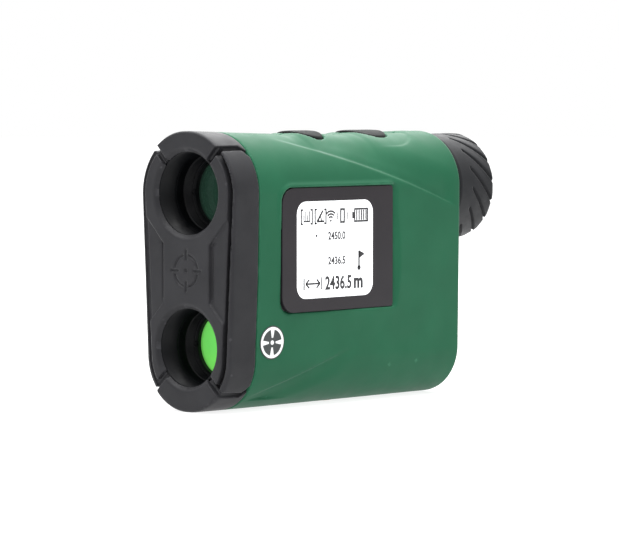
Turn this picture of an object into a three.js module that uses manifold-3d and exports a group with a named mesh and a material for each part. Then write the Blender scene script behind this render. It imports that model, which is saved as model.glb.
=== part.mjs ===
// Hand-held laser rangefinder: a green housing in two shells, a dark front cap with two
// apertures, a side display, two top buttons and a turning eyepiece.
//
// Lengths are millimetres. While the pieces are made, x is counted from the front face towards
// the eyepiece, y across the body (the display looks to -y) and z up from the base. The last
// group moves x so that the origin is the middle of the base.
import * as THREE from 'three';
import { mergeVertices } from 'three/addons/utils/BufferGeometryUtils.js';
import Module from 'manifold-3d';

const wasm = await Module();
wasm.setup();

// ---------------------------------------------------------------- driving dimensions
const LENGTH = 114.2;
const BODY_LENGTH = 94.4;
const CAP_DEPTH = 9.6;
const WALL = 2;
const GAP = 0.3;

// Body sections: half-widths at the top and bottom, height, and corner radii.
const FRONT = { top: 18.1, bottom: 16.1, height: 78, topRadius: 17.7, bottomRadius: 15.6 };
const REAR = { top: 19.2, bottom: 18.7, height: 77.4, topRadius: 16.1, bottomRadius: 14.4 };
const SIDE_BULGE = 0.8;
const TOP_DIP = 0.9;
const REAR_ROUND = 1;

// The two optical axes: height above the base, and aperture radius.
const VIEW = { z: 60.7, radius: 11.4 };
const RECEIVE = { z: 17.9, radius: 10.8 };
const APERTURE_CHAMFER = 1.5;

// Front plate, inlaid in the cap between grooves.
const PLATE = { thickness: 1.5, recess: 1.8, rim: 0.9, groove: 1.1, slope: 0.95 };

// Optical train, x positions.
const TUBE_START = 3.3;
const TUBE_STEP = 20;
const TUBE_END = 33.7;
const LENS_FRONT = 14;
const BULKHEAD = { start: 34, end: 36 };
const PRISM = { start: 42, end: 66, halfWidth: 11, bottom: 50.7, top: 69.4 };

// Display window on the -y side.
const WINDOW = { x0: 18.4, x1: 64.7, z0: 27.3, z1: 62.1, face: 18.75, thickness: 1.2 };
const SCREEN = { x0: 23.0, x1: 57.4, z0: 29.8, z1: 59.4 };
const BADGE = { x: 15.6, z: 19.4, radius: 4.7, thickness: 0.8 };

// Buttons on top: broad ovals draped round the upper optical axis. Radii are from that axis.
const BUTTONS = {
  button_power: { x: 43.8, halfLength: 6.5, halfWidth: 8 },
  button_mode: { x: 70.0, halfLength: 8.2, halfWidth: 8 },
};
const KEY = {
  crown: 17.2, underside: 15.4, wellFloor: 14.4, wellBase: 13.4, wellRim: 1.6,
  stemBottom: 72.3, flangeTop: 73, stemHalfWidth: 3.9, stemInset: 2, flangeReach: 0.7,
};

// Eyepiece.
const EYE = {
  boreRadius: 10.9, tubeRadius: 12.3, tubeStart: 84, tubeEnd: 108, collarRadius: 15.3,
  collarEnd: 98, ringRadius: 14.1, ringEnd: 109.5, gripRadius: 15.8, gripStart: 98.3,
  cupRadius: 11.2,
};
// Multi-start cam in the turning ring: travel per turn, angle of use, pin size and place.
const CAM = { lead: 4.8, turn: 240, pinRadius: 1, pinX: 102.9, depth: 2 };
const CELL = { start: 86, end: 107, wall: 1.2 };

// Case screws that join the shells, as x and z of each axis.
const SCREWS = [[16, 39.3], [88.5, 40.4], [66, 8.2], [88.5, 8.2]];
const TRIPOD = { x: 52, radius: 4.8, bore: 3.17, depth: 8.4 };

// Electronics: main board on the +y side, battery low at the back, charging socket behind.
const BOARD = {
  x0: 40, x1: 85, y: 12.6, z0: 13, z1: 46, chips: [[44, 6, 38], [64, 8, 36], [76, 7, 40]],
};
const BATTERY = { x0: 61.5, x1: 87.1, halfWidth: 8.9, z0: 13.5, z1: 26.6, tray: 1.5 };
const PORT = { x0: 87.3, x1: 94, halfWidth: 4.6, z0: 29, z1: 32.4, wall: 0.7, flapTop: 35.4 };
const LASER = { x: 50, z0: 35.4, z1: 46.6, radius: 4.2 };
const OPTIC = {
  seatStep: 0.9, play: 0.15, lip: 0.8, edge: 2.4, crown: 1,
  retainerStart: 12, sealStart: 17.9, sealEnd: 19, noseEnd: 7.5, seatStart: 11,
};
const DETECTOR = { canStart: 38.6, flangeStart: 42, flangeEnd: 43, canRadius: 4.1, flangeRadius: 4.6 };
const SWITCH = { boardBottom: 69.7, boardTop: 70.2, sealBottom: 70.95, sealTop: 71.45 };

const ROUND = 24;
const FINE_ROUND = 32;

// ---------------------------------------------------------------- looks
const look = (color, roughness, metalness = 0) => ({ color, roughness, metalness });
const LOOKS = {
  green: look(0x2f6b4a, 0.55),
  cap: look(0x3f3f43, 0.6),
  rubber: look(0x232325, 0.85),
  black: look(0x141416, 0.7),
  window: look(0x2b272c, 0.15),
  screen: look(0xf2f4f4, 0.4),
  white: look(0xe6e6e2, 0.5),
  glass: look(0x24382f, 0.05),
  coated: look(0x6ccf5a, 0.05),
  prism: look(0xdfe8ee, 0.05),
  alloy: look(0x8c9096, 0.4, 0.9),
  steel: look(0xb4b7bb, 0.3, 1),
  brass: look(0xb08d4a, 0.35, 1),
  board: look(0x1f5a34, 0.5),
  cell: look(0x3b4f7a, 0.45),
  ribbon: look(0xc07a32, 0.5),
};

// ---------------------------------------------------------------- solids
// Closed solid from a geometry, with its faces turned outwards.
function solid(geometry) {
  geometry.deleteAttribute('normal');
  geometry.deleteAttribute('uv');
  const merged = mergeVertices(geometry, 1e-4);
  const vertProperties = new Float32Array(merged.attributes.position.array);
  const triVerts = Uint32Array.from(dropFlatTriangles(merged.index.array));
  if (signedVolume(vertProperties, triVerts) < 0) triVerts.reverse();
  return new wasm.Manifold(new wasm.Mesh({ numProp: 3, vertProperties, triVerts }));
}

function dropFlatTriangles(index) {
  const kept = [];
  for (let i = 0; i < index.length; i += 3) {
    const [a, b, c] = index.slice(i, i + 3);
    if (a !== b && b !== c && c !== a) kept.push(a, b, c);
  }
  return kept;
}

function signedVolume(points, index) {
  const corner = (i) => new THREE.Vector3().fromArray(points, index[i] * 3);
  let sum = 0;
  for (let i = 0; i < index.length; i += 3) {
    sum += corner(i).dot(corner(i + 1).cross(corner(i + 2)));
  }
  return sum / 6;
}

const union = (...solids) => solids.reduce((all, next) => all.add(next));
const cut = (body, ...tools) => tools.reduce((rest, tool) => rest.subtract(tool), body);

// Box between two corners.
function block(x0, x1, y0, y1, z0, z1) {
  const geometry = new THREE.BoxGeometry(x1 - x0, y1 - y0, z1 - z0);
  return solid(geometry.translate((x0 + x1) / 2, (y0 + y1) / 2, (z0 + z1) / 2));
}

// Solid of revolution about an axis along x at height z; the profile lists [x, radius].
function turned(z, profile, segments = ROUND) {
  const closed = [...profile, profile[0]].map(([x, radius]) => new THREE.Vector2(radius, x));
  return solid(new THREE.LatheGeometry(closed, segments).rotateZ(-Math.PI / 2).translate(0, 0, z));
}

const rod = (z, x0, x1, radius, segments) =>
  turned(z, [[x0, 0], [x0, radius], [x1, radius], [x1, 0]], segments);
const ring = (z, x0, x1, inner, outer, segments) =>
  turned(z, [[x0, inner], [x0, outer], [x1, outer], [x1, inner]], segments);

// Round pin along y or z between two stations.
function pinAlongY(x, z, y0, y1, radius, segments = 12) {
  const geometry = new THREE.CylinderGeometry(radius, radius, y1 - y0, segments);
  return solid(geometry.translate(x, (y0 + y1) / 2, z));
}
function pinAlongZ(x, y, z0, z1, radius, segments = 16) {
  const geometry = new THREE.CylinderGeometry(radius, radius, z1 - z0, segments);
  return solid(geometry.rotateX(Math.PI / 2).translate(x, y, (z0 + z1) / 2));
}

function roundedRectangle(x0, x1, y0, y1, radius) {
  const shape = new THREE.Shape();
  shape.absarc(x1 - radius, y0 + radius, radius, -Math.PI / 2, 0);
  shape.absarc(x1 - radius, y1 - radius, radius, 0, Math.PI / 2);
  shape.absarc(x0 + radius, y1 - radius, radius, Math.PI / 2, Math.PI);
  shape.absarc(x0 + radius, y0 + radius, radius, Math.PI, Math.PI * 1.5);
  return shape;
}

const AXES = {
  // Outline in y and z, thickness along +x.
  x: new THREE.Matrix4().makeBasis(
    new THREE.Vector3(0, 1, 0), new THREE.Vector3(0, 0, 1), new THREE.Vector3(1, 0, 0)),
  // Outline in x and z, thickness along -y.
  y: new THREE.Matrix4().makeBasis(
    new THREE.Vector3(1, 0, 0), new THREE.Vector3(0, 0, 1), new THREE.Vector3(0, -1, 0)),
  // Outline in x and y, thickness along +z.
  z: new THREE.Matrix4(),
};

function extruded(shape, direction, start, depth, steps = 4) {
  const geometry = new THREE.ExtrudeGeometry(
    shape, { depth, bevelEnabled: false, curveSegments: steps });
  return solid(geometry.translate(0, 0, start).applyMatrix4(AXES[direction]));
}

// Plate on the display side: outline in x and z, from y = -outer to y = -inner.
const sidePlate = (shape, inner, outer) => extruded(shape, 'y', inner, outer - inner);

// ---------------------------------------------------------------- body section
const mix = THREE.MathUtils.lerp;

function sectionAt(x) {
  const t = THREE.MathUtils.clamp(x / BODY_LENGTH, 0, 1);
  const ease = Math.sqrt(t);
  return {
    top: mix(FRONT.top, REAR.top, ease),
    bottom: mix(FRONT.bottom, REAR.bottom, ease),
    height: mix(FRONT.height, REAR.height, t) - TOP_DIP * Math.sin(Math.PI * t),
    topRadius: mix(FRONT.topRadius, REAR.topRadius, ease),
    bottomRadius: mix(FRONT.bottomRadius, REAR.bottomRadius, ease),
    bulge: SIDE_BULGE * Math.sin(Math.PI * t),
  };
}

// Closed outline of the body at x, anticlockwise seen from the eyepiece, moved in by inset.
function outlineAt(x, inset = 0, steps = 6) {
  const s = sectionAt(x);
  const points = [];
  const corner = (side, centreZ, halfWidth, radius, from, to) => {
    for (let i = 0; i <= steps; i += 1) {
      const angle = mix(from, to, i / steps);
      points.push([
        side * (halfWidth - radius) + (radius - inset) * Math.cos(angle),
        centreZ + (radius - inset) * Math.sin(angle),
      ]);
    }
  };
  const sideMiddle = (side) => {
    const z = (s.bottomRadius + s.height - s.topRadius) / 2;
    points.push([side * ((s.top + s.bottom) / 2 + s.bulge - inset), z]);
  };
  sideMiddle(1);
  corner(1, s.height - s.topRadius, s.top, s.topRadius, 0, Math.PI / 2);
  corner(-1, s.height - s.topRadius, s.top, s.topRadius, Math.PI / 2, Math.PI);
  sideMiddle(-1);
  corner(-1, s.bottomRadius, s.bottom, s.bottomRadius, Math.PI, Math.PI * 1.5);
  corner(1, s.bottomRadius, s.bottom, s.bottomRadius, Math.PI * 1.5, Math.PI * 2);
  return points;
}

// Solid through body outlines; stations list [x, inset]. A cylinder is reshaped ring by ring.
function loft(stations) {
  const rings = stations.map(([x, inset]) => outlineAt(x, inset));
  const count = rings[0].length;
  const last = stations.length - 1;
  const geometry = new THREE.CylinderGeometry(1, 1, 1, count, last);
  const position = geometry.attributes.position;
  for (let v = 0; v < position.count; v += 1) {
    const station = Math.round((position.getY(v) + 0.5) * last);
    const turn = Math.atan2(position.getX(v), position.getZ(v)) / (2 * Math.PI);
    const onRim = Math.hypot(position.getX(v), position.getZ(v)) > 0.5;
    const [y, z] = onRim
      ? rings[station][(Math.round(turn * count) + count) % count]
      : [0, sectionAt(stations[station][0]).height / 2];
    position.setXYZ(v, stations[station][0], y, z);
  }
  return solid(geometry);
}

// ---------------------------------------------------------------- front cap and plate
// Round hole with a chamfer at the front face.
function apertureCutter({ z, radius }) {
  const flare = radius + APERTURE_CHAMFER;
  return turned(z, [[-1, 0], [-1, flare + 1], [APERTURE_CHAMFER, radius], [TUBE_START, radius],
    [TUBE_START, 0]], FINE_ROUND);
}

// Region between the two apertures, bounded by lines that fan out from their centres.
function plateBlank(inset, shift, depth) {
  const reach = 30;
  const rise = reach * PLATE.slope;
  const low = RECEIVE.z + shift;
  const high = VIEW.z - shift;
  const fan = new THREE.Shape([[0, low], [reach, low - rise], [reach, high + rise], [0, high],
    [-reach, high + rise], [-reach, low - rise]].map(([y, z]) => new THREE.Vector2(y, z)));
  return loft([[0, inset], [depth, inset]]).intersect(extruded(fan, 'x', 0, depth));
}

function frontCap() {
  const back = CAP_DEPTH - GAP / 2;
  const shell = loft([[0, 0.5], [0.8, 0], [back, 0]]);
  const hollow = loft([[TUBE_START - GAP, WALL + 0.4], [CAP_DEPTH, WALL + 0.4]]);
  const recess = plateBlank(PLATE.rim, 0, PLATE.recess);
  return cut(shell, hollow, recess, apertureCutter(VIEW), apertureCutter(RECEIVE));
}

function frontPlate() {
  const blank = plateBlank(PLATE.rim + PLATE.groove, PLATE.groove, PLATE.thickness);
  return cut(blank, apertureCutter(VIEW), apertureCutter(RECEIVE));
}

function capSeal() {
  const from = CAP_DEPTH - 2;
  const to = CAP_DEPTH + 2;
  return cut(loft([[from, WALL + 0.7], [to, WALL + 0.7]]),
    loft([[from - 1, WALL + 1.7], [to + 1, WALL + 1.7]]));
}

// ---------------------------------------------------------------- housing shells
function bothShells() {
  const start = CAP_DEPTH + GAP / 2;
  const rear = BODY_LENGTH;
  const outer = loft([[start, 0], [30, 0], [50, 0], [72, 0], [rear - REAR_ROUND, 0],
    [rear - REAR_ROUND / 3, REAR_ROUND * 0.35], [rear, REAR_ROUND]]);
  const inner = loft([[start - 1, WALL], [30, WALL], [50, WALL], [72, WALL], [rear - WALL, WALL]]);
  const tripodBoss = pinAlongZ(TRIPOD.x, 0, 1, TRIPOD.depth + 2.1, TRIPOD.radius + 2.2);
  const posts = union(...SCREWS.map(([x, z]) => pinAlongY(x, z, -17.4, 17.4, 3)));
  const keys = Object.values(BUTTONS);
  const wells = keys.map((key) => cut(oval(key, KEY.wellRim, VIEW.z + 5, 90).intersect(outer),
    rod(VIEW.z, 0, LENGTH, KEY.wellBase, 2 * FINE_ROUND)));
  const pockets = keys.flatMap((key) => [
    cut(oval(key, GAP, VIEW.z + 5, 90), rod(VIEW.z, 0, LENGTH, KEY.wellFloor, 2 * FINE_ROUND)),
    oval(stemOf(key), GAP, VIEW.z + 5, 90)]);
  return cut(union(cut(outer, inner), tripodBoss, posts.intersect(outer), ...wells),
    ...pockets,
    rod(VIEW.z, rear - 4, rear + 1, EYE.tubeRadius + 0.5, FINE_ROUND),
    pinAlongZ(TRIPOD.x, 0, -1, TRIPOD.depth + GAP, TRIPOD.radius + GAP),
    block(rear - 4, rear + 1, -PORT.halfWidth - 0.4, PORT.halfWidth + 0.4, PORT.z0 - 0.4,
      PORT.z1 + 0.4));
}

const halfSpace = (side) => (side < 0
  ? block(0, LENGTH, -30, -GAP / 2, -1, 90) : block(0, LENGTH, GAP / 2, 30, -1, 90));

function grown(frame, by) {
  return [frame.x0 - by, frame.x1 + by, frame.z0 - by, frame.z1 + by];
}

function housingLeft(shells) {
  const floor = WINDOW.face - WINDOW.thickness - 0.55;
  const bezel = sidePlate(roundedRectangle(...grown(WINDOW, 2), 3), 15.2, floor + 0.5);
  const pocket = sidePlate(roundedRectangle(...grown(WINDOW, GAP), 2), floor, 25);
  const opening = sidePlate(roundedRectangle(...grown(SCREEN, GAP), 1), 10, 25);
  const badge = pinAlongY(BADGE.x, BADGE.z, -25, -badgeFace() + BADGE.thickness + GAP,
    BADGE.radius + GAP, ROUND);
  const pilots = SCREWS.map(([x, z]) => pinAlongY(x, z, -12, 0, 1.2));
  return cut(union(shells.intersect(halfSpace(-1)), bezel), pocket, opening, badge, ...pilots);
}

function housingRight(shells) {
  const bores = SCREWS.flatMap(([x, z]) => [
    pinAlongY(x, z, -1, 25, 1.5), pinAlongY(x, z, 13.4, 25, 2.6)]);
  return cut(shells.intersect(halfSpace(1)), ...bores);
}

// Case screw with a hexagonal socket; its head sits in the right shell's counterbore.
function caseScrew([x, z]) {
  return cut(union(pinAlongY(x, z, -8, 13.8, 1), pinAlongY(x, z, 13.7, 15.2, 2.2)),
    pinAlongY(x, z, 14.3, 16, 1, 6));
}

function tripodInsert() {
  return cut(pinAlongZ(TRIPOD.x, 0, 0, TRIPOD.depth, TRIPOD.radius, 24),
    pinAlongZ(TRIPOD.x, 0, -1, TRIPOD.depth - 0.9, TRIPOD.bore, 24));
}

// ---------------------------------------------------------------- display
// Distance from the middle plane to the wall where the badge sits.
function badgeFace() {
  const s = sectionAt(BADGE.x);
  return mix(s.bottom, s.top, 0.1) + s.bulge * 0.2 - 0.1;
}

function badgeDisc() {
  return pinAlongY(BADGE.x, BADGE.z, -badgeFace(), -badgeFace() + BADGE.thickness, BADGE.radius,
    ROUND);
}

function displayPieces() {
  const back = WINDOW.face - WINDOW.thickness;
  const gasketFrame = cut(
    sidePlate(roundedRectangle(...grown(WINDOW, -0.6), 2), back - 0.5, back - 0.05),
    sidePlate(roundedRectangle(...grown(SCREEN, 0.2), 1), back - 1, back + 1));
  const carrier = cut(block(20.6, 60, -15.1, -12.6, 27.4, 61.8),
    sidePlate(roundedRectangle(...grown(SCREEN, 0.2), 1), 13.7, 16));
  return {
    display_window: ['window', sidePlate(roundedRectangle(...grown(WINDOW, 0), 2.4), back,
      WINDOW.face)],
    display_gasket: ['black', gasketFrame],
    lcd_panel: ['screen', sidePlate(roundedRectangle(...grown(SCREEN, 0), 0.8), 15.7, back - 0.2)],
    lcd_backlight: ['white', sidePlate(roundedRectangle(...grown(SCREEN, 0), 0.8), 13.9, 15.6)],
    display_carrier: ['black', carrier],
    display_ribbon: ['ribbon', displayRibbon()],
  };
}

// Flat cable from the back of the display to the main board, bent up at both ends.
function displayRibbon() {
  const sheet = 0.4;
  const outline = [[-12.4, 36], [-12.4, 31], [12.3, 31], [12.3, 36], [12.3 - sheet, 36],
    [12.3 - sheet, 31 + sheet], [-12.4 + sheet, 31 + sheet], [-12.4 + sheet, 36]];
  const shape = new THREE.Shape(outline.map(([y, z]) => new THREE.Vector2(y, z)));
  return extruded(shape, 'x', 52, 8);
}

// ---------------------------------------------------------------- buttons
// Upright prism on an oval outline grown by reach, from z0 to z1.
function oval({ x, halfLength, halfWidth }, reach, z0, z1) {
  const shape = new THREE.Shape();
  shape.absellipse(x, 0, halfLength + reach, halfWidth + reach, 0, Math.PI * 2);
  return extruded(shape, 'z', z0, z1 - z0, 14);
}

const stemOf = ({ x, halfLength }) =>
  ({ x, halfLength: halfLength - KEY.stemInset, halfWidth: KEY.stemHalfWidth });

// Curved key plate on a narrower stem, held in by a flange below the well.
function button(key) {
  const plate = cut(
    oval(key, 0, VIEW.z + 5, 90).intersect(rod(VIEW.z, 0, LENGTH, KEY.crown, 2 * FINE_ROUND)),
    rod(VIEW.z, 0, LENGTH, KEY.underside, 2 * FINE_ROUND));
  const stem = oval(stemOf(key), 0, KEY.stemBottom, VIEW.z + KEY.underside + 0.2);
  const flange = oval(stemOf(key), KEY.flangeReach, KEY.stemBottom, KEY.flangeTop);
  return union(plate, stem, flange);
}

// Silicone sheet over a small board with one snap dome under each key.
function switchPieces() {
  const pieces = {
    button_seal: ['rubber', block(33, 83, -6.6, 6.6, SWITCH.sealBottom, SWITCH.sealTop)],
    switch_board: ['board', block(34, 82, -5.5, 5.5, SWITCH.boardBottom, SWITCH.boardTop)],
  };
  for (const [name, { x }] of Object.entries(BUTTONS)) {
    const base = pinAlongZ(x, 0, SWITCH.boardTop + 0.05, SWITCH.boardTop + 0.35, 3);
    const dome = pinAlongZ(x, 0, SWITCH.boardTop + 0.3, SWITCH.boardTop + 0.6, 2.2);
    pieces[name.replace('button', 'switch')] = ['steel', union(base, dome)];
  }
  return pieces;
}

// ---------------------------------------------------------------- optics
// Stepped tube from the front cap to the chassis bulkhead, holding its lens behind LENS_FRONT.
function opticTube({ z, radius }, outer, neck) {
  const seat = radius - OPTIC.seatStep;
  const { seatStart, noseEnd } = OPTIC;
  return turned(z, [[TUBE_START, outer], [TUBE_STEP, outer], [TUBE_STEP + 3, neck + 1.6],
    [TUBE_END, neck + 1.6], [TUBE_END, neck], [TUBE_STEP + 1, neck + 1], [TUBE_STEP, seat - 1.2],
    [TUBE_STEP - 0.5, seat - 1.2], [TUBE_STEP - 0.5, seat], [seatStart, seat],
    [seatStart, radius - 0.4], [noseEnd, radius - 0.4], [noseEnd, radius],
    [TUBE_START, radius]], FINE_ROUND);
}

// Biconvex lens, its front surface starting at x.
function lens(z, x, radius, edge, crown, segments = ROUND) {
  const rows = 2;
  const face = (sign, at) => Array.from({ length: rows }, (_, i) => {
    const share = i / rows;
    return [at + sign * crown * (1 - share * share), radius * share];
  });
  const front = face(-1, x + crown);
  const back = face(1, x + crown + edge).reverse();
  return turned(z, [...front, [x + crown, radius], [x + crown + edge, radius], ...back], segments);
}

function opticPieces() {
  const viewSeat = VIEW.radius - OPTIC.seatStep - OPTIC.play;
  const receiveSeat = RECEIVE.radius - OPTIC.seatStep - OPTIC.play;
  const { retainerStart, sealStart, sealEnd, lip, edge, crown } = OPTIC;
  const { canStart, flangeStart, flangeEnd, canRadius, flangeRadius } = DETECTOR;
  return {
    objective_tube: ['black', opticTube(VIEW, 13, 7)],
    objective_retainer: ['black', ring(VIEW.z, retainerStart, LENS_FRONT, viewSeat - lip, viewSeat)],
    objective_lens: ['glass', lens(VIEW.z, LENS_FRONT, viewSeat, edge, crown)],
    objective_seal: ['rubber', ring(VIEW.z, sealStart, sealEnd, viewSeat - 0.9, viewSeat)],
    receiver_tube: ['black', opticTube(RECEIVE, 12.4, 6.6)],
    receiver_retainer:
      ['black', ring(RECEIVE.z, retainerStart, LENS_FRONT, receiveSeat - lip, receiveSeat)],
    receiver_lens: ['coated', lens(RECEIVE.z, LENS_FRONT, receiveSeat, edge, crown)],
    receiver_seal: ['rubber', ring(RECEIVE.z, sealStart, sealEnd, receiveSeat - 0.9, receiveSeat)],
    receiver_filter: ['prism', rod(RECEIVE.z, 36.4, 37.6, 6.2, 20)],
    detector: ['steel', union(rod(RECEIVE.z, flangeStart, flangeEnd, flangeRadius, 20),
      rod(RECEIVE.z, canStart, flangeStart + 0.1, canRadius, 20))],
    detector_board: ['board', block(43.3, 44.6, -8, 8, 11.5, 26)],
    optical_chassis: ['alloy', opticalChassis()],
    prism_housing: ['black', prismHousing()],
    roof_prism: ['prism', prismWedge([[45.5, 52.8], [52.4, 67.6], [46, 67.6], [43.8, 60]])],
    half_prism: ['prism', prismWedge([[47, 52.8], [64, 52.8], [64, 61], [54, 67.6]])],
    reticle_display: ['glass', block(67.5, 68.7, -8.5, 8.5, 52.5, 69)],
    laser_module: ['brass', laserModule()],
  };
}

// Stepped barrel below the prism housing.
function laserModule() {
  const step = LASER.z0 + 2.6;
  return union(pinAlongZ(LASER.x, 0, step, LASER.z1, LASER.radius),
    pinAlongZ(LASER.x, 0, LASER.z0, step + 0.1, LASER.radius - 1.4));
}

// Bulkhead behind both tubes, with a shelf that carries the prism housing.
function opticalChassis() {
  return cut(
    union(block(BULKHEAD.start, BULKHEAD.end, -12, 12, 8.2, 69.5),
      block(BULKHEAD.end - 1, 72, -11, 11, 47.2, 48.8)),
    rod(VIEW.z, BULKHEAD.start - 1, BULKHEAD.end + 1, 6.8),
    rod(RECEIVE.z, BULKHEAD.start - 1, BULKHEAD.end + 1, 6),
    pinAlongZ(LASER.x, 0, 46, 50, 3));
}

// Open-sided frame: end walls with light openings, joined by a floor and a roof.
function prismHousing() {
  const { start, end, halfWidth, bottom, top } = PRISM;
  return cut(block(start, end, -halfWidth, halfWidth, bottom - 1.8, top),
    block(start + 1.5, end - 1.5, -halfWidth - 1, halfWidth + 1, bottom, top - 1.5),
    rod(VIEW.z, start - 1, end + 1, 7),
    pinAlongZ(LASER.x, 0, bottom - 3, bottom + 1, 3));
}

function prismWedge(corners) {
  const shape = new THREE.Shape(corners.map(([x, z]) => new THREE.Vector2(x, z)));
  return sidePlate(shape, -8, 8);
}

// ---------------------------------------------------------------- electronics
function electronicPieces() {
  const { x0, x1, halfWidth, z0, z1, tray } = BATTERY;
  const boardOnly = block(BOARD.x0, BOARD.x1, BOARD.y, BOARD.y + 1.6, BOARD.z0, BOARD.z1);
  const chips = BOARD.chips.map(([x, size, z]) =>
    block(x, x + size, BOARD.y - 1.4, BOARD.y + 0.1, z - size / 2, z + size / 2));
  const cradle = cut(
    block(x0 - tray, x1 + tray, -halfWidth - tray, halfWidth + tray, z0 - tray, z1 - 0.6),
    block(x0 - GAP, x1 + GAP, -halfWidth - GAP, halfWidth + GAP, z0 - GAP, z1 + 1));
  const socket = cut(
    block(PORT.x0, PORT.x1, -PORT.halfWidth, PORT.halfWidth, PORT.z0, PORT.z1),
    block(PORT.x0 + 1.7, PORT.x1 + 1, -PORT.halfWidth + PORT.wall, PORT.halfWidth - PORT.wall,
      PORT.z0 + PORT.wall, PORT.z1 - PORT.wall));
  return {
    main_board: ['board', union(boardOnly, ...chips)],
    battery: ['cell', block(x0, x1, -halfWidth, halfWidth, z0, z1)],
    battery_cradle: ['black', cradle],
    charge_board: ['board', block(84, 92, -7.5, 7.5, PORT.z0 - 1.7, PORT.z0 - 0.5)],
    usb_port: ['steel', socket],
    usb_cover: ['rubber', usbCover()],
  };
}

// Rubber flap over the charging port, with a tongue that plugs the wall opening.
function usbCover() {
  const face = BODY_LENGTH + GAP;
  const flap = extruded(roundedRectangle(-6.4, 6.4, 26.8, PORT.flapTop, 1.6), 'x', face, 1.6);
  return union(flap, block(PORT.x1 + 0.2, face + 0.2, -3.4, 3.4, PORT.z0 + 0.9, PORT.z1 - 0.9));
}

// ---------------------------------------------------------------- eyepiece
function eyepieceTube() {
  const slotReach = CAM.pinRadius + GAP;
  const travel = (CAM.lead * CAM.turn) / 720;
  const tube = turned(VIEW.z, [[EYE.tubeStart, EYE.boreRadius], [EYE.tubeStart, EYE.tubeRadius],
    [BODY_LENGTH + GAP, EYE.tubeRadius], [BODY_LENGTH + GAP, EYE.collarRadius - 0.5],
    [BODY_LENGTH + GAP + 0.6, EYE.collarRadius], [EYE.collarEnd, EYE.collarRadius],
    [EYE.collarEnd, EYE.tubeRadius], [EYE.tubeEnd, EYE.tubeRadius],
    [EYE.tubeEnd, EYE.boreRadius]], FINE_ROUND);
  const slot = block(CAM.pinX - travel - slotReach, CAM.pinX + travel + slotReach,
    -slotReach, slotReach, VIEW.z, VIEW.z + EYE.tubeRadius + 1);
  return cut(tube, slot);
}

// Turning ring; a helical groove inside drives the pin of the lens cell.
function diopterRing() {
  const groove = [];
  const steps = 20;
  const runOut = 6;
  for (let i = 0; i <= steps; i += 1) {
    const degrees = mix(-CAM.turn / 2 - runOut, CAM.turn / 2 + runOut, i / steps);
    const angle = THREE.MathUtils.degToRad(degrees);
    const x = CAM.pinX - (CAM.lead * degrees) / 360;
    const reach = CAM.pinRadius + GAP;
    const bite = new THREE.BoxGeometry(2 * reach, 3.2, CAM.depth)
      .translate(x, 0, EYE.tubeRadius + GAP);
    groove.push(solid(bite.rotateX(angle).translate(0, 0, VIEW.z)));
  }
  const body = ring(VIEW.z, EYE.gripStart, EYE.ringEnd, EYE.tubeRadius + GAP, EYE.ringRadius,
    FINE_ROUND);
  return cut(body, ...groove);
}

// Rubber sleeve over the ring, rolled in at the end as an eyecup.
function diopterGrip() {
  const inner = EYE.ringRadius + 0.2;
  return turned(VIEW.z, [[EYE.gripStart, inner], [EYE.gripStart, EYE.gripRadius - 0.4],
    [EYE.gripStart + 0.8, EYE.gripRadius], [LENGTH - 1.2, EYE.gripRadius],
    [LENGTH - 0.3, EYE.gripRadius - 0.4], [LENGTH, EYE.gripRadius - 1.3],
    [LENGTH, EYE.cupRadius + 1.2], [LENGTH - 1.4, EYE.cupRadius], [LENGTH - 3.6, EYE.cupRadius],
    [LENGTH - 3.6, inner]], FINE_ROUND);
}

function ocularPieces() {
  const cellOuter = EYE.boreRadius - GAP;
  const seat = cellOuter - CELL.wall;
  const lensRadius = seat - GAP / 2;
  return {
    ocular_cell: ['black', ring(VIEW.z, CELL.start, CELL.end, seat, cellOuter, ROUND)],
    field_lens: ['glass', lens(VIEW.z, CELL.start + 2, lensRadius, 1.6, 1)],
    eye_lens: ['glass', lens(VIEW.z, CELL.end - 9.5, lensRadius, 2.2, 1.1)],
    ocular_retainer: ['black', ring(VIEW.z, CELL.end - 3.6, CELL.end - 1.6, 8.2, lensRadius)],
    guide_pin: ['steel', pinAlongZ(CAM.pinX, 0, VIEW.z + cellOuter + 0.02,
      VIEW.z + EYE.tubeRadius + 0.9, CAM.pinRadius, 12)],
  };
}

// ---------------------------------------------------------------- assembly
function allPieces() {
  const shells = bothShells();
  const pieces = {
    front_cap: ['cap', frontCap()],
    front_plate: ['cap', frontPlate()],
    cap_seal: ['rubber', capSeal()],
    housing_left: ['green', housingLeft(shells)],
    housing_right: ['green', housingRight(shells)],
    badge_disc: ['window', badgeDisc()],
    tripod_insert: ['brass', tripodInsert()],
    ...displayPieces(),
    ...switchPieces(),
    ...opticPieces(),
    ...electronicPieces(),
    eyepiece_tube: ['black', eyepieceTube()],
    eyepiece_locknut: ['alloy', ring(VIEW.z, 89.6, 92.1, EYE.tubeRadius + 0.2, 13.9)],
    diopter_ring: ['black', diopterRing()],
    diopter_grip: ['rubber', diopterGrip()],
    ...ocularPieces(),
  };
  for (const [name, place] of Object.entries(BUTTONS)) pieces[name] = ['rubber', button(place)];
  SCREWS.forEach((place, i) => { pieces[`case_screw_${i + 1}`] = ['steel', caseScrew(place)]; });
  return pieces;
}

function meshOf(name, lookName, body) {
  const { vertProperties, triVerts } = body.getMesh();
  const geometry = new THREE.BufferGeometry();
  geometry.setAttribute('position', new THREE.BufferAttribute(vertProperties, 3));
  geometry.setIndex(new THREE.BufferAttribute(triVerts, 1));
  geometry.computeVertexNormals();
  const mesh = new THREE.Mesh(
    geometry, new THREE.MeshStandardMaterial({ ...LOOKS[lookName], flatShading: true }));
  mesh.name = name;
  return mesh;
}

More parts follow.
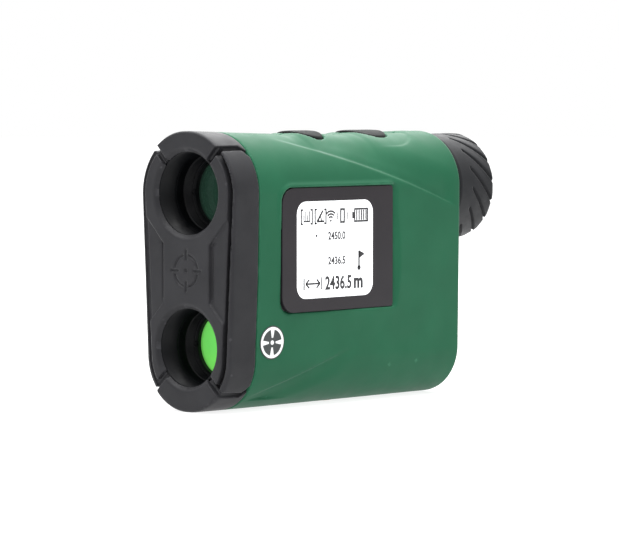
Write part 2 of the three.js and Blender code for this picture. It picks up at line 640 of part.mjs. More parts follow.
const rangefinder = new THREE.Group();
rangefinder.name = 'laser_rangefinder';
rangefinder.position.x = -LENGTH / 2;
for (const [name, [lookName, body]] of Object.entries(allPieces())) {
  rangefinder.add(meshOf(name, lookName, body));
}

export default rangefinder;
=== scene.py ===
# Looks of the laser rangefinder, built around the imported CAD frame. Metres, +X towards the
# eyepiece, -Y the display side, +Z up. Shapes are made in millimetres, with x counted from the
# front face, and scaled into the frame at the end.
import math

import bmesh
import bpy
import numpy as np
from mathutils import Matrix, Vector


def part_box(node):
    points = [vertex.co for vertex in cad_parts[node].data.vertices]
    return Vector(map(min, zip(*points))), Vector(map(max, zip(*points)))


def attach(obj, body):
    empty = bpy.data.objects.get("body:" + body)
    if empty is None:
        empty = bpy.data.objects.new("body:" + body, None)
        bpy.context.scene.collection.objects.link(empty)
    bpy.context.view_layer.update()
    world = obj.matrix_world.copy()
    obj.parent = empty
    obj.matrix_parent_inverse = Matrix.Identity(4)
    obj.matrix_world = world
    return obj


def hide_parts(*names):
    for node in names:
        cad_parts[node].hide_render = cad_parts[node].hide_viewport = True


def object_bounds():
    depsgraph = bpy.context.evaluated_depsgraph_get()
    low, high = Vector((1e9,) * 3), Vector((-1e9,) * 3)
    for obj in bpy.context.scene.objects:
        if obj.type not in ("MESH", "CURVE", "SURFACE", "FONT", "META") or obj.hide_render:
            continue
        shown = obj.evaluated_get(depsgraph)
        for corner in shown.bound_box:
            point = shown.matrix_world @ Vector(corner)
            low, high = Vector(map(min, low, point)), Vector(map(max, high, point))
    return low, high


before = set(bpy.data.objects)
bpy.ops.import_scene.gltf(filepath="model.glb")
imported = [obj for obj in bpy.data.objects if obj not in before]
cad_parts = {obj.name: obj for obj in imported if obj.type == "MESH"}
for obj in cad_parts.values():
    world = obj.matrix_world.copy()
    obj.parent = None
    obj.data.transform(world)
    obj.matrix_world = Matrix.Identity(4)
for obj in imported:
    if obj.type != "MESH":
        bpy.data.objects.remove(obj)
CAD_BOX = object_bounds()

# ------------ driving dimensions, mm
MM = 0.001
LOW, HIGH = CAD_BOX
X0 = LOW[0] / MM


def node_box(name):
    """Corners of a CAD node in millimetres, x from the front face."""
    low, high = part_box(name)
    shift = np.array([X0, 0, 0])
    return np.array(low) / MM - shift, np.array(high) / MM - shift


def middle(box, axis):
    return (box[0][axis] + box[1][axis]) / 2


CAP_END = node_box("front_cap")[1][0]
BODY_START = node_box("housing_left")[0][0]
BODY_END = node_box("housing_left")[1][0]
VIEW_BOX = node_box("objective_tube")
RECEIVE_BOX = node_box("receiver_tube")
VIEW_Z, RECEIVE_Z = middle(VIEW_BOX, 2), middle(RECEIVE_BOX, 2)
VIEW_R = 11.4
RECEIVE_R = 10.8
FRONT = dict(top=18.1, bottom=16.1, height=78.0, r_top=17.7, r_bottom=15.6)
REAR = dict(top=19.2, bottom=18.7, height=77.4, r_top=16.1, r_bottom=14.4)
SIDE_BULGE = 0.8
TOP_DIP = 0.9
WALL = 2.0
WINDOW_LOW, WINDOW_HIGH = node_box("display_window")
SCREEN_LOW, SCREEN_HIGH = node_box("lcd_panel")
GRIP_LOW, GRIP_HIGH = node_box("diopter_grip")
GRIP_R = (GRIP_HIGH[1] - GRIP_LOW[1]) / 2


# ------------ distance-field helpers
def smooth_max(a, b, k):
    """Maximum of two fields with a fillet of about k where they meet."""
    h = np.clip(0.5 + 0.5 * (a - b) / k, 0, 1)
    return b + (a - b) * h + k * h * (1 - h)


def smooth_min(a, b, k):
    return -smooth_max(-a, -b, k)


def round_max(a, b, r):
    """Intersection with a true round edge of radius r."""
    u, v = a + r, b + r
    return np.minimum(np.maximum(u, v), 0) + np.hypot(np.maximum(u, 0), np.maximum(v, 0)) - r


def ramp(x, x0, x1):
    """0 before x0, 1 after x1, smooth in between."""
    t = np.clip((x - x0) / (x1 - x0), 0, 1)
    return t * t * (3 - 2 * t)


def mix(a, b, t):
    return a + (b - a) * t


def round_rect(u, v, u0, u1, v0, v1, r):
    """Signed distance to a rounded rectangle."""
    du = np.abs(u - (u0 + u1) / 2) - (u1 - u0) / 2 + r
    dv = np.abs(v - (v0 + v1) / 2) - (v1 - v0) / 2 + r
    return np.minimum(np.maximum(du, dv), 0) + np.hypot(np.maximum(du, 0), np.maximum(dv, 0)) - r


def segment(u, v, a, b):
    """Distance to the line from a to b."""
    du, dv = b[0] - a[0], b[1] - a[1]
    t = np.clip(((u - a[0]) * du + (v - a[1]) * dv) / (du * du + dv * dv), 0, 1)
    return np.hypot(u - a[0] - t * du, v - a[1] - t * dv)


def ellipse(u, v, a, b):
    """Near-exact signed distance to an ellipse's outline."""
    k1 = np.sqrt((u / a) ** 2 + (v / b) ** 2)
    k2 = np.sqrt((u / a ** 2) ** 2 + (v / b ** 2) ** 2) + 1e-9
    return k1 * (k1 - 1) / k2


def surface_nets(field, low, high, step):
    """Quad mesh of field = 0 in a box: one vertex a cell, then pulled on to the true surface."""
    low = np.array(low, float)
    count = np.ceil((np.array(high) - low) / step).astype(int) + 1
    axes = [low[i] + step * np.arange(count[i]) for i in range(3)]
    value = field(*np.meshgrid(*axes, indexing="ij")).astype(np.float32)
    inside = value < 0
    total = np.zeros([n - 1 for n in count] + [3], np.float32)
    hits = np.zeros([n - 1 for n in count], np.float32)
    cell = np.indices([n - 1 for n in count])
    corners = [(i, j, k) for i in (0, 1) for j in (0, 1) for k in (0, 1)]

    def at(array, c):
        return array[c[0]:c[0] + count[0] - 1, c[1]:c[1] + count[1] - 1, c[2]:c[2] + count[2] - 1]

    for a in corners:
        for axis in range(3):
            if a[axis]:
                continue
            b = tuple(1 if i == axis else a[i] for i in range(3))
            va, vb = at(value, a), at(value, b)
            crossing = at(inside, a) != at(inside, b)
            share = np.where(crossing, va / np.where(va == vb, 1, va - vb), 0)
            hits += crossing
            for i in range(3):
                offset = a[i] + (share if i == axis else 0)
                total[..., i] += np.where(crossing, offset, 0)
    used = hits > 0
    index = np.full(used.shape, -1)
    index[used] = np.arange(used.sum())
    points = np.stack([cell[i][used] + total[..., i][used] / hits[used] for i in range(3)], 1)
    points = low + step * points
    quads = []
    for axis in range(3):
        ahead = [slice(None)] * 3
        ahead[axis] = slice(1, None)
        behind = [slice(None)] * 3
        behind[axis] = slice(None, -1)
        change = inside[tuple(behind)].astype(int) - inside[tuple(ahead)].astype(int)
        where = np.argwhere(change)
        u, v = [i for i in range(3) if i != axis]
        keep = (where[:, u] > 0) & (where[:, v] > 0)
        keep &= (where[:, u] < count[u] - 1) & (where[:, v] < count[v] - 1)
        where = where[keep]
        sign = change[tuple(where.T)]
        ring = []
        for du, dv in ((1, 1), (0, 1), (0, 0), (1, 0)):
            at_cell = where.copy()
            at_cell[:, u] -= du
            at_cell[:, v] -= dv
            ring.append(index[tuple(at_cell.T)])
        quad = np.stack(ring, 1)
        forward = (sign > 0) != (axis == 1)
        quads.append(np.where(forward[:, None], quad, quad[:, ::-1]))
    return settle(field, points, step), np.concatenate(quads)


def gradient(field, p, e=0.02):
    x, y, z = p.T
    return np.stack([
        field(x + e, y, z) - field(x - e, y, z),
        field(x, y + e, z) - field(x, y - e, z),
        field(x, y, z + e) - field(x, y, z - e)], 1) / (2 * e)


def settle(field, points, step, rounds=4):
    """Moves points on to field = 0, never further than half a cell."""
    home = points.copy()
    for _ in range(rounds):
        slope = gradient(field, points)
        size = np.maximum((slope ** 2).sum(1), 0.2)
        points = points - slope * (field(*points.T) / size)[:, None]
        move = points - home
        far = np.linalg.norm(move, axis=1)
        points = home + move * np.minimum(1, 0.55 * step / np.maximum(far, 1e-9))[:, None]
    return points


# ------------ mesh helpers
def place(points):
    """Millimetres from the front face to metres in the frame."""
    return (np.asarray(points, float) + np.array([X0, 0, 0])) * MM


def add_object(name, data):
    obj = bpy.data.objects.new(name, data)
    bpy.context.scene.collection.objects.link(obj)
    return obj


def mesh_object(name, points, faces, smooth=True):
    mesh = bpy.data.meshes.new(name)
    mesh.from_pydata(place(points).tolist(), [], [list(map(int, f)) for f in faces])
    mesh.validate()
    if smooth:
        mesh.polygons.foreach_set("use_smooth", [True] * len(mesh.polygons))
    return add_object(name, mesh)


def carve(name, field, low, high, step):
    """Object whose surface is field = 0."""
    points, quads = surface_nets(field, low, high, step)
    return mesh_object(name, points, quads)


def grid_faces(rows, count, bands=None, columns=None):
    """Quads that join rows of count points, all the way round unless told how far to go."""
    faces = []
    for k in range(bands or rows):
        n = (k + 1) % rows
        for s in range(columns or count):
            t = (s + 1) % count
            faces.append((k * count + s, k * count + t, n * count + t, n * count + s))
    return faces


def revolve(name, profile, z, segments=96, wobble=None, rows=0):
    """Closed solid of revolution about the x axis at height z; profile lists (x, radius)."""
    path = np.array(profile, float)
    if rows:
        path = resample(path, rows)
    count = len(path)
    angle = np.arange(segments) * 2 * math.pi / segments
    x = np.repeat(path[:, 0][:, None], segments, 1)
    r = np.repeat(path[:, 1][:, None], segments, 1)
    a = np.repeat(angle[None, :], count, 0)
    if wobble:
        r = r + wobble(x, r, a)
    points = np.stack([x, r * np.sin(a), z + r * np.cos(a)], 2).reshape(-1, 3)
    obj = mesh_object(name, points, grid_faces(count, segments))
    weld(obj)
    return obj


def resample(path, rows):
    """The closed path cut into about equal steps, keeping its corners."""
    out = []
    closed = np.vstack([path, path[:1]])
    lengths = np.linalg.norm(np.diff(closed, axis=0), axis=1)
    step = lengths.sum() / rows
    for a, b, length in zip(closed[:-1], closed[1:], lengths):
        pieces = max(1, int(round(length / step)))
        out += [mix(a, b, i / pieces) for i in range(pieces)]
    return np.array(out)


def weld(obj, distance=2e-6):
    """Merges doubled points, as on an axis, and turns the faces outwards."""
    bm = bmesh.new()
    bm.from_mesh(obj.data)
    bmesh.ops.remove_doubles(bm, verts=bm.verts, dist=distance)
    bmesh.ops.dissolve_degenerate(bm, edges=bm.edges, dist=distance / 10)
    bmesh.ops.recalc_face_normals(bm, faces=bm.faces)
    bm.to_mesh(obj.data)
    bm.free()


def crisp_object(name, points, faces, angle):
    """Object shaded smooth, with edges over angle degrees kept crisp."""
    obj = mesh_object(name, points, faces)
    weld(obj)
    obj.data.set_sharp_from_angle(angle=math.radians(angle))
    return obj


def slab(name, outline, y_front, y_back, edge=0.12):
    """Plate on the display side: outline in (x, z), its front edge eased by a small chamfer."""
    outline = np.array(outline, float)
    centre = outline.mean(0)
    count = len(outline)
    eased = centre + (outline - centre) * (1 - edge / np.abs(outline - centre).max())
    rings = [(eased, y_front), (outline, y_front + edge), (outline, y_back)]
    points = [(x, y, z) for ring, y in rings for x, z in ring]
    points += [(centre[0], y_front, centre[1]), (centre[0], y_back, centre[1])]
    faces = grid_faces(3, count, bands=2)
    for s in range(count):
        t = (s + 1) % count
        faces.append((s, t, 3 * count))
        faces.append((2 * count + t, 2 * count + s, 3 * count + 1))
    return crisp_object(name, points, faces, 30)


def round_outline(u0, u1, v0, v1, radii, steps=8):
    """Rounded rectangle outline; radii for lower right, upper right, upper left, lower left."""
    corners = [(u1, v0, -90), (u1, v1, 0), (u0, v1, 90), (u0, v0, 180)]
    out = []
    for (u, v, start), r in zip(corners, radii):
        cu = u - r if u == u1 else u + r
        cv = v - r if v == v1 else v + r
        for i in range(steps + 1):
            a = math.radians(start + 90 * i / steps)
            out.append((cu + r * math.cos(a), cv + r * math.sin(a)))
    return out


# ------------ body section
def section(x):
    """Body section measures at x, as arrays."""
    t = np.clip(x / BODY_END, 0, 1)
    ease = np.sqrt(t)
    return dict(
        top=mix(FRONT["top"], REAR["top"], ease),
        bottom=mix(FRONT["bottom"], REAR["bottom"], ease),
        height=mix(FRONT["height"], REAR["height"], t) - TOP_DIP * np.sin(np.pi * t),
        r_top=mix(FRONT["r_top"], REAR["r_top"], ease),
        r_bottom=mix(FRONT["r_bottom"], REAR["r_bottom"], ease),
        bulge=SIDE_BULGE * np.sin(np.pi * t))


def body_field(x, y, z):
    """Signed distance, near the surface, to the body's long outline."""
    s = section(x)
    side = np.abs(y)
    z_low, z_high = s["r_bottom"], s["height"] - s["r_top"]
    share = np.clip((z - z_low) / (z_high - z_low), 0, 1)
    half = mix(s["bottom"], s["top"], share) + s["bulge"] * np.sin(np.pi * share) ** 2
    wall = side - half
    up = np.hypot(np.maximum(side - (s["top"] - s["r_top"]), 0), z - z_high) - s["r_top"]
    down = np.hypot(np.maximum(side - (s["bottom"] - s["r_bottom"]), 0), z - z_low) - s["r_bottom"]
    return np.where(z > z_high, up, np.where(z < z_low, down, wall))


# Two soft creases run down each side; the broad face between them stands a little proud.
CREASE_TOP = [(24.0, 75.9), (58.5, 66.6), (90.0, 56.5)]
CREASE_LOW = [(11.5, 4.3), (32.9, 11.3), (46.0, 15.6)]
CREASE_TOP_SPAN, CREASE_TOP_FADE = (22, 34, 87, 93), (3, 11)
CREASE_LOW_SPAN, CREASE_LOW_FADE = (10, 20, 34, 50), (2, 7)
CREASE_STEP = 0.75
CREASE_WIDTH = 1.0


def crease_height(x, line):
    """Height of a crease at x, as a smooth curve through its three points."""
    xs, zs = np.array(line).T
    return np.polyval(np.polyfit(xs, zs, 2), x)


def crease_step(off, x, span, fade):
    """1 just beyond a crease, easing to 0 at both ends of its span and further away from it."""
    step = ramp(off, -CREASE_WIDTH / 2, CREASE_WIDTH / 2)
    step = step * ramp(x, span[0], span[1]) * (1 - ramp(x, span[2], span[3]))
    return step * (1 - ramp(off, *fade))


def relief(x, z):
    """How far the side face is set back above the top crease and below the low one."""
    above, below = z - crease_height(x, CREASE_TOP), crease_height(x, CREASE_LOW) - z
    return CREASE_STEP * (crease_step(above, x, CREASE_TOP_SPAN, CREASE_TOP_FADE)
                          + crease_step(below, x, CREASE_LOW_SPAN, CREASE_LOW_FADE))


# ------------ housing shells
KEY_CROWN = 17.25
KEY_SHORTER = 2.0
KEY_PIECES = {name: node_box(name) for name in ("button_power", "button_mode")}
KEY_GAP = 0.35
KEY_WELL = 3.6
DISH = dict(x0=27.0, x1=87.0, half=13.4, depth=0.42, start=62, full=80)
VALLEYS = [(34.8, 2.4, 0.6), (57.8, 2.8, 0.35)]
VALLEY_SPREAD = 9.0
RISE = dict(before=-0.5, reach=6.5, height=0.42, spread=11.0)
SEAM = 0.05
BACK_WALL = 3
ROOF_R = 12.2
EYE_HOLE_R = 12.7
SCREW_HOLE_R = 2.5
SCREW_SEAT = 13.6
TRIPOD_GAP = 0.15
PORT = (-4.8, 4.8, 28.8, 32.6)


def key_measures(name):
    """Centre x, half-length and half-width of a key from its CAD box."""
    low, high = KEY_PIECES[name]
    start = low[0] + KEY_SHORTER
    return (start + high[0]) / 2, (high[0] - start) / 2, (high[1] - low[1]) / 2


def top_dish(x, y):
    """Depth of the shallow hollow round the keys: a dip before each key, a rise at its start."""
    rim = round_rect(x, y, DISH["x0"], DISH["x1"], -DISH["half"], DISH["half"], DISH["half"] - 0.1)
    depth = DISH["depth"] * (1 - ramp(rim, -1.1, 0.1)) * ramp(x, DISH["start"], DISH["full"])
    for centre, width, deep in VALLEYS:
        depth = depth + deep * np.exp(-((x - centre) / width) ** 2 - (y / VALLEY_SPREAD) ** 2)
    for name in KEY_PIECES:
        centre, length, _ = key_measures(name)
        start = centre - length + RISE["before"]
        crest = ramp(x, start - 1.5, start + 1) * (1 - ramp(x, start + 2, start + 2 + RISE["reach"]))
        depth = depth - RISE["height"] * crest * np.exp(-(y / RISE["spread"]) ** 4)
    return depth


BEVEL = dict(left=2.2, right=2.3, top=0.1, base=0.9, depth=1.1)
LIP = dict(height=0.55, width=0.7, offset=0.6)
WINDOW_GAP = 0.12
WINDOW_FLOOR = 1.5


def window_outline(x, z, x0, x1, z0, z1):
    """Rounded outline with wide corners towards the front and tight ones towards the back."""
    return round_rect(x, z, x0, x1, z0, z1, np.where(x < 40, 4.0, 1.2))


def display_recess(x, y, z):
    """Hollow for the display window: upright sides up to its face, then a bevel out to the wall."""
    face = -WINDOW_LOW[1]
    out = np.clip((-y - face + 0.1) / BEVEL["depth"], 0, 1.3)
    deep = np.clip((-y - face + 0.7) / BEVEL["depth"], 0, 1.3)
    x0 = WINDOW_LOW[0] - WINDOW_GAP - BEVEL["left"] * out
    x1 = WINDOW_HIGH[0] + WINDOW_GAP + BEVEL["right"] * deep
    z0 = WINDOW_LOW[2] - WINDOW_GAP - BEVEL["base"] * out
    z1 = WINDOW_HIGH[2] + WINDOW_GAP + BEVEL["top"] * out
    return np.maximum(window_outline(x, z, x0, x1, z0, z1), y + face - WINDOW_FLOOR)


def display_lip(x, z):
    """Low ridge over the window's top edge that fades down its sides."""
    around = window_outline(x, z, WINDOW_LOW[0], WINDOW_HIGH[0], WINDOW_LOW[2], WINDOW_HIGH[2])
    ridge = np.exp(-((around - LIP["offset"]) / LIP["width"]) ** 2)
    share = ramp(z, WINDOW_HIGH[2] - 14, WINDOW_HIGH[2] + 0.5) * (1 - ramp(x, 62, 66))
    return LIP["height"] * ridge * share


def housing_field(side):
    """Field of one green shell; side is -1 for the display side."""
    keys = [key_measures(name) for name in KEY_PIECES]
    tripod = node_box("tripod_insert")
    tripod_x = middle(tripod, 0)
    tripod_r = (tripod[1][0] - tripod[0][0]) / 2 + TRIPOD_GAP

    def field(x, y, z):
        from_axis = np.hypot(y, z - VIEW_Z)
        outline = body_field(x, y, z)
        outer = outline + np.where(z > 3, relief(x, z) * ramp(np.abs(y), 5, 12), 0)
        outer = outer + np.where(z > 55, top_dish(x, y), 0)
        if side < 0:
            outer = outer - display_lip(x, z)
        body = round_max(outer, x - BODY_END, 0.9)
        body = round_max(body, BODY_START - x, 0.25)
        for centre, a, b in keys:
            hole = np.maximum(ellipse(x - centre, y, a + KEY_GAP, b + KEY_GAP),
                              KEY_CROWN - KEY_WELL - from_axis)
            body = smooth_max(body, np.where(z > 60, -hole, -9.0), 0.5)
        inner = np.maximum(outline + WALL, x - BODY_END + WALL)
        roof = np.maximum(inner, from_axis - ROOF_R)
        inner = np.where(z > VIEW_Z, np.where(x > 30, roof, inner), inner)
        body = np.maximum(body, -inner)
        if side < 0:
            body = smooth_max(body, -display_recess(x, y, z), 0.2)
        else:
            for sx, sz in screw_places():
                bore = np.maximum(np.hypot(x - sx, z - sz) - SCREW_HOLE_R, SCREW_SEAT - y)
                body = smooth_max(body, -bore, 0.3)
        body = smooth_max(body, -np.maximum(np.hypot(x - tripod_x, y) - tripod_r, z - 3), 0.2)
        ahead = BODY_END - BACK_WALL - x
        body = smooth_max(body, -np.maximum(round_rect(y, z, *PORT, 1), ahead), 0.3)
        body = np.maximum(body, -np.maximum(from_axis - EYE_HOLE_R, ahead))
        return round_max(body, SEAM - side * y, 0.3)

    return field


def screw_places():
    screws = [node_box(f"case_screw_{i}") for i in range(1, 5)]
    return [(middle(screw, 0), middle(screw, 2)) for screw in screws]


def make_shells():
    step = 0.5
    shells = {}
    for name, side in (("housing_left", -1), ("housing_right", 1)):
        low, high = [BODY_START - 1, -21, -1], [BODY_END + 1, 1, 79]
        if side > 0:
            low[1], high[1] = -1, 21
        shells[name] = carve(name + "_shell", housing_field(side), low, high, step)
    return shells


# ------------ front cap and plate
NOTCH_HIGH = (11.4, 73.0)
NOTCH_LOW = (12.1, 6.0)
GROOVE_HALF = 0.62
APERTURES = ((VIEW_Z, VIEW_R), (RECEIVE_Z, RECEIVE_R))
WAIST_HALF = 8.9
RELIEF_DROP = 0.7
FOOT_DROP = 0.6
RIM_DROP = 0.7
FRONT_X = -0.8
SLEEVE = 0.8
CHANNEL_HIGH = (12.4, 73.0)
CHANNEL_LOW = (12.6, 5.3)
CHANNEL_R = 0.95
TICK = dict(length=1.9, out=0.9, up=0.8)
CAP_WALL = WALL + 0.4
CAP_FACE = 3.0
POCKET_NEAR = 2.4
POCKET_FAR = FRONT_X + 1.2
FACE_MIDDLE = (VIEW_Z + RECEIVE_Z) / 2
FACE_REACH = 21.4
EYE_RING = 3.1
PLATE_BACK = 1.5
MARK = dict(size=4.4, line=0.28, gap=0.9, tick=1.5, dot=0.55, depth=0.45)


def aperture_holes(x, y, z):
    """Both round holes with their front chamfers."""
    holes = []
    for centre, radius in APERTURES:
        flare = np.maximum(0, FRONT_X + 1.3 - x) + SLEEVE * ramp(x, FRONT_X + 1.3, FRONT_X + 1.35)
        holes.append(np.hypot(y, z - centre) - radius - flare)
    return np.minimum(*holes)


def fan_lines(y, z):
    """Distance to the four grooves that fan out from the apertures to the notches."""
    side = np.abs(y)
    high = segment(side, z, (5.0, VIEW_Z + 5.5), NOTCH_HIGH)
    low = segment(side, z, (5.0, RECEIVE_Z - 5.2), NOTCH_LOW)
    return np.minimum(high, low)


def between_fans(y, z):
    """Below zero in the middle part of the face, between the upper and lower fan lines."""
    side = np.abs(y)
    slope_high = (NOTCH_HIGH[1] - VIEW_Z - 0.6) / NOTCH_HIGH[0]
    slope_low = (RECEIVE_Z + 0.2 - NOTCH_LOW[1]) / NOTCH_LOW[0]
    high = (z - VIEW_Z - 0.6 - slope_high * side) / math.hypot(1, slope_high)
    low = (RECEIVE_Z + 0.2 - slope_low * side - z) / math.hypot(1, slope_low)
    return np.maximum(high, low)


def rim_inset(z):
    """Distance of the rim groove from the outline: close at the top, further in at the base."""
    return mix(1.9, 1.3, np.clip(z / 60, 0, 1))


def side_channels(x, y, z):
    """Grooves along the cap's sides from each notch, ending in a short tick at the back."""
    side = np.abs(y)
    tick = np.maximum(x - CAP_END + TICK["length"], 0)
    out, up = tick * TICK["out"], tick * TICK["up"]
    high = np.hypot(side - CHANNEL_HIGH[0] - out, z - CHANNEL_HIGH[1] + up)
    low = np.hypot(side - CHANNEL_LOW[0] - out, z - CHANNEL_LOW[1] - up)
    return np.minimum(high, low) - CHANNEL_R


def cap_field(x, y, z):
    outline = body_field(x, y, z)
    middle = between_fans(y, z)
    front = RIM_DROP * (1 - ramp(middle, -0.25, 0.25))
    body = round_max(outline, FRONT_X + front - x, 0.8)
    body = round_max(body, x - CAP_END, 0.25)
    body = np.maximum(body, -np.maximum(outline + CAP_WALL, CAP_FACE - x))
    floor = np.where(y > 0, POCKET_FAR, POCKET_NEAR)
    pocket = np.maximum(np.maximum(outline + rim_inset(z) - GROOVE_HALF, middle), x - floor)
    body = smooth_max(body, -pocket, 0.2)
    body = smooth_max(body, -side_channels(x, y, z), 0.2)
    body = smooth_max(body, GROOVE_HALF + 0.05 - np.maximum(fan_lines(y, z), x - FRONT_X - 0.9), 0.25)
    return smooth_max(body, -aperture_holes(x, y, z), 0.3)


def waist(y, z):
    """Below zero inside the raised hourglass between the two apertures."""
    side = np.abs(y)
    straight = side - WAIST_HALF
    top = VIEW_Z - 14.0
    base = RECEIVE_Z + 12.6
    flare = np.maximum(np.maximum(z - top, base - z), 0)
    return (straight - 0.95 * flare) / np.where(flare > 0, 1.38, 1)


def reticle_mark(y, z):
    """Generic ranging mark: a broken ring with four ticks and a centre dot."""
    r, y, z = np.hypot(y, z), np.abs(y), np.abs(z)
    size, line, reach = MARK["size"], MARK["line"], MARK["tick"]
    ring = np.maximum(np.abs(r - size) - line, MARK["gap"] - np.minimum(y, z))
    tick = np.minimum(np.maximum(y - line, np.abs(z - size) - reach),
                      np.maximum(z - line, np.abs(y - size) - reach))
    return np.minimum(np.minimum(ring, tick), r - MARK["dot"])


def plate_field(x, y, z):
    outline = body_field(np.zeros_like(x), y, z)
    edge = np.maximum(outline + rim_inset(z) + GROOVE_HALF, between_fans(y, z) + 2 * GROOVE_HALF)
    edge_of_waist = waist(y, z)
    drop = RELIEF_DROP * ramp(edge_of_waist, -0.15, 0.25)
    rings = np.minimum(*[np.hypot(y, z - at) - radius - EYE_RING for at, radius in APERTURES])
    away = np.abs(z - FACE_MIDDLE)
    drop = drop * ramp(rings, -0.4, 0.4) * (1 - ramp(np.clip(away / FACE_REACH, 0, 1), 0.55, 0.95))
    foot = np.exp(-((edge_of_waist - 0.6) / 0.4) ** 2) * (1 - ramp(away, 7.2, 8.6))
    mark = 1 - ramp(reticle_mark(y, z - FACE_MIDDLE), -0.15, 0.2)
    drop = drop + FOOT_DROP * foot + MARK["depth"] * mark
    body = np.maximum(round_max(edge, FRONT_X + drop - x, 0.35), x - PLATE_BACK)
    return smooth_max(body, -aperture_holes(x, y, z), 0.3)


def make_cap():
    step = 0.33
    cap = carve("front_cap_shell", cap_field, (-2, -20, -1), (CAP_END + 1, 20, 79.5), step)
    plate = carve("front_plate_inlay", plate_field, (-2, -19, 5), (2.5, 19, 76), step * 0.9)
    return cap, plate


# ------------ eyepiece
SLITS = 16
SLIT_START = 104.4
SLIT_TURN = math.radians(4.0)
SLIT_HALF = 0.34
SLIT_DEPTH = 0.7
FIRST_SLIT = math.radians(-24.3)


def grip_slits(x, r, angle):
    """Narrow slits with rounded starts that wind down the grip and run out over its rim."""
    pitch = 2 * math.pi / SLITS
    turn = (angle - FIRST_SLIT + SLIT_TURN * (x - SLIT_START)) / pitch
    across = np.abs(turn - np.round(turn)) * pitch * GRIP_R * math.cos(math.atan(SLIT_TURN * GRIP_R))
    away = np.hypot(across, np.minimum(x - SLIT_START, 0) * 1.2)
    groove = 1 - ramp(away, SLIT_HALF * 0.45, SLIT_HALF * 1.35)
    swell = 0.06 * np.cos(2 * math.pi * (turn - 0.25)) * ramp(x, SLIT_START - 1, SLIT_START + 5)
    outside = ramp(r, GRIP_R - 3.2, GRIP_R - 2.0)
    return (swell - SLIT_DEPTH * groove - 0.06) * outside


GRIP_BORE = 14.3
EYE_OPENING = 11.2
COLLAR_R = 15.3
COLLAR_NECK = 12.3
COLLAR_BORE = 10.9


def make_grip():
    end, start = GRIP_HIGH[0], GRIP_LOW[0]
    profile = [(start, GRIP_BORE), (start, GRIP_R - 1.0), (start + 0.3, GRIP_R - 0.35),
               (start + 0.9, GRIP_R), (end - 1.1, GRIP_R), (end - 0.45, GRIP_R - 0.2),
               (end - 0.1, GRIP_R - 0.7), (end, GRIP_R - 1.5), (end - 0.1, GRIP_R - 2.6),
               (end - 0.5, GRIP_R - 3.6), (end - 1.4, EYE_OPENING), (end - 3.6, EYE_OPENING),
               (end - 3.6, GRIP_BORE)]
    return revolve("diopter_grip_sleeve", profile, VIEW_Z, 720, grip_slits, 120)


def make_collar():
    """Fixed collar of the eyepiece tube, with a stepped lip against the body."""
    low, high = node_box("eyepiece_tube")
    seat = BODY_END + 0.25
    end = seat + 3.3
    profile = [(low[0], COLLAR_BORE), (low[0], COLLAR_NECK), (seat, COLLAR_NECK),
               (seat, COLLAR_R - 0.5), (seat + 0.5, COLLAR_R), (end - 1.1, COLLAR_R),
               (end - 0.8, COLLAR_R - 0.35), (end - 0.4, COLLAR_R - 0.35), (end, COLLAR_R - 0.6),
               (end, COLLAR_NECK), (high[0] - 0.3, COLLAR_NECK), (high[0], COLLAR_NECK - 0.3),
               (high[0], COLLAR_BORE)]
    return revolve("eyepiece_collar", profile, VIEW_Z, 120)


def make_tube(name, box, centre, radius):
    """Optic tube with fine baffle ridges ahead of the lens."""
    low, high = box
    outer = (high[1] - low[1]) / 2
    sleeve = radius + SLEEVE - 0.05
    seat = radius - 0.9
    neck = 7.0
    nose = FRONT_X + 1.4
    shoulder, ridge_end, ridges = 20, 9.4, 6
    profile = [(nose, sleeve), (low[0], sleeve), (low[0], outer), (shoulder, outer),
               (shoulder + 3, neck + 1.6), (high[0], neck + 1.6), (high[0], neck),
               (shoulder + 1, neck + 1), (shoulder, seat - 1.2), (shoulder - 0.5, seat - 1.2),
               (shoulder - 0.5, seat), (ridge_end, seat)]
    for i in range(ridges):
        x = ridge_end - (i + 0.5) * 3.0 / ridges
        profile += [(x + 0.22, radius - 0.75), (x - 0.02, radius - 0.3), (x - 0.25, radius - 0.3)]
    profile += [(6.2, radius - 0.35), (6.0, radius - 0.05), (nose, radius)]
    return revolve(name, profile, centre, 128)


def make_lens(name, node, centre):
    """Biconvex lens filling its CAD node's box."""
    low, high = node_box(node)
    radius = (high[1] - low[1]) / 2
    rows = 10
    crown = 1.0
    share = np.linspace(0, 1, rows)
    front = [(low[0] + crown * s * s, radius * s) for s in share]
    back = [(high[0] - crown * s * s, radius * s) for s in share[::-1]]
    return revolve(name, front + back, centre, 96)


def make_retainer(name, node, centre, slots=4):
    """Threaded ring with spanner slots and a bevelled inner edge."""
    low, high = node_box(node)
    outer = (high[1] - low[1]) / 2
    inner = outer - 1.0
    profile = [(low[0] + 0.25, outer), (high[0], outer), (high[0], inner), (low[0] + 0.7, inner),
               (low[0], inner + 0.55), (low[0], outer - 0.2)]

    def notch(x, r, a):
        phase = np.abs(((a * slots / (2 * math.pi)) + 0.5) % 1 - 0.5) / slots * 2 * math.pi * outer
        return np.where((phase < 0.6) & (r < outer - 0.3) & (x < low[0] + 0.9), 0.35, 0.0)

    return revolve(name, profile, centre, 144, notch, 40)


# ------------ display
FACE_Y = WINDOW_LOW[1]
VISIBLE = dict(x0=24.3, x1=56.1, z0=31.0, z1=58.2)
SCREEN_Y = FACE_Y + 0.12


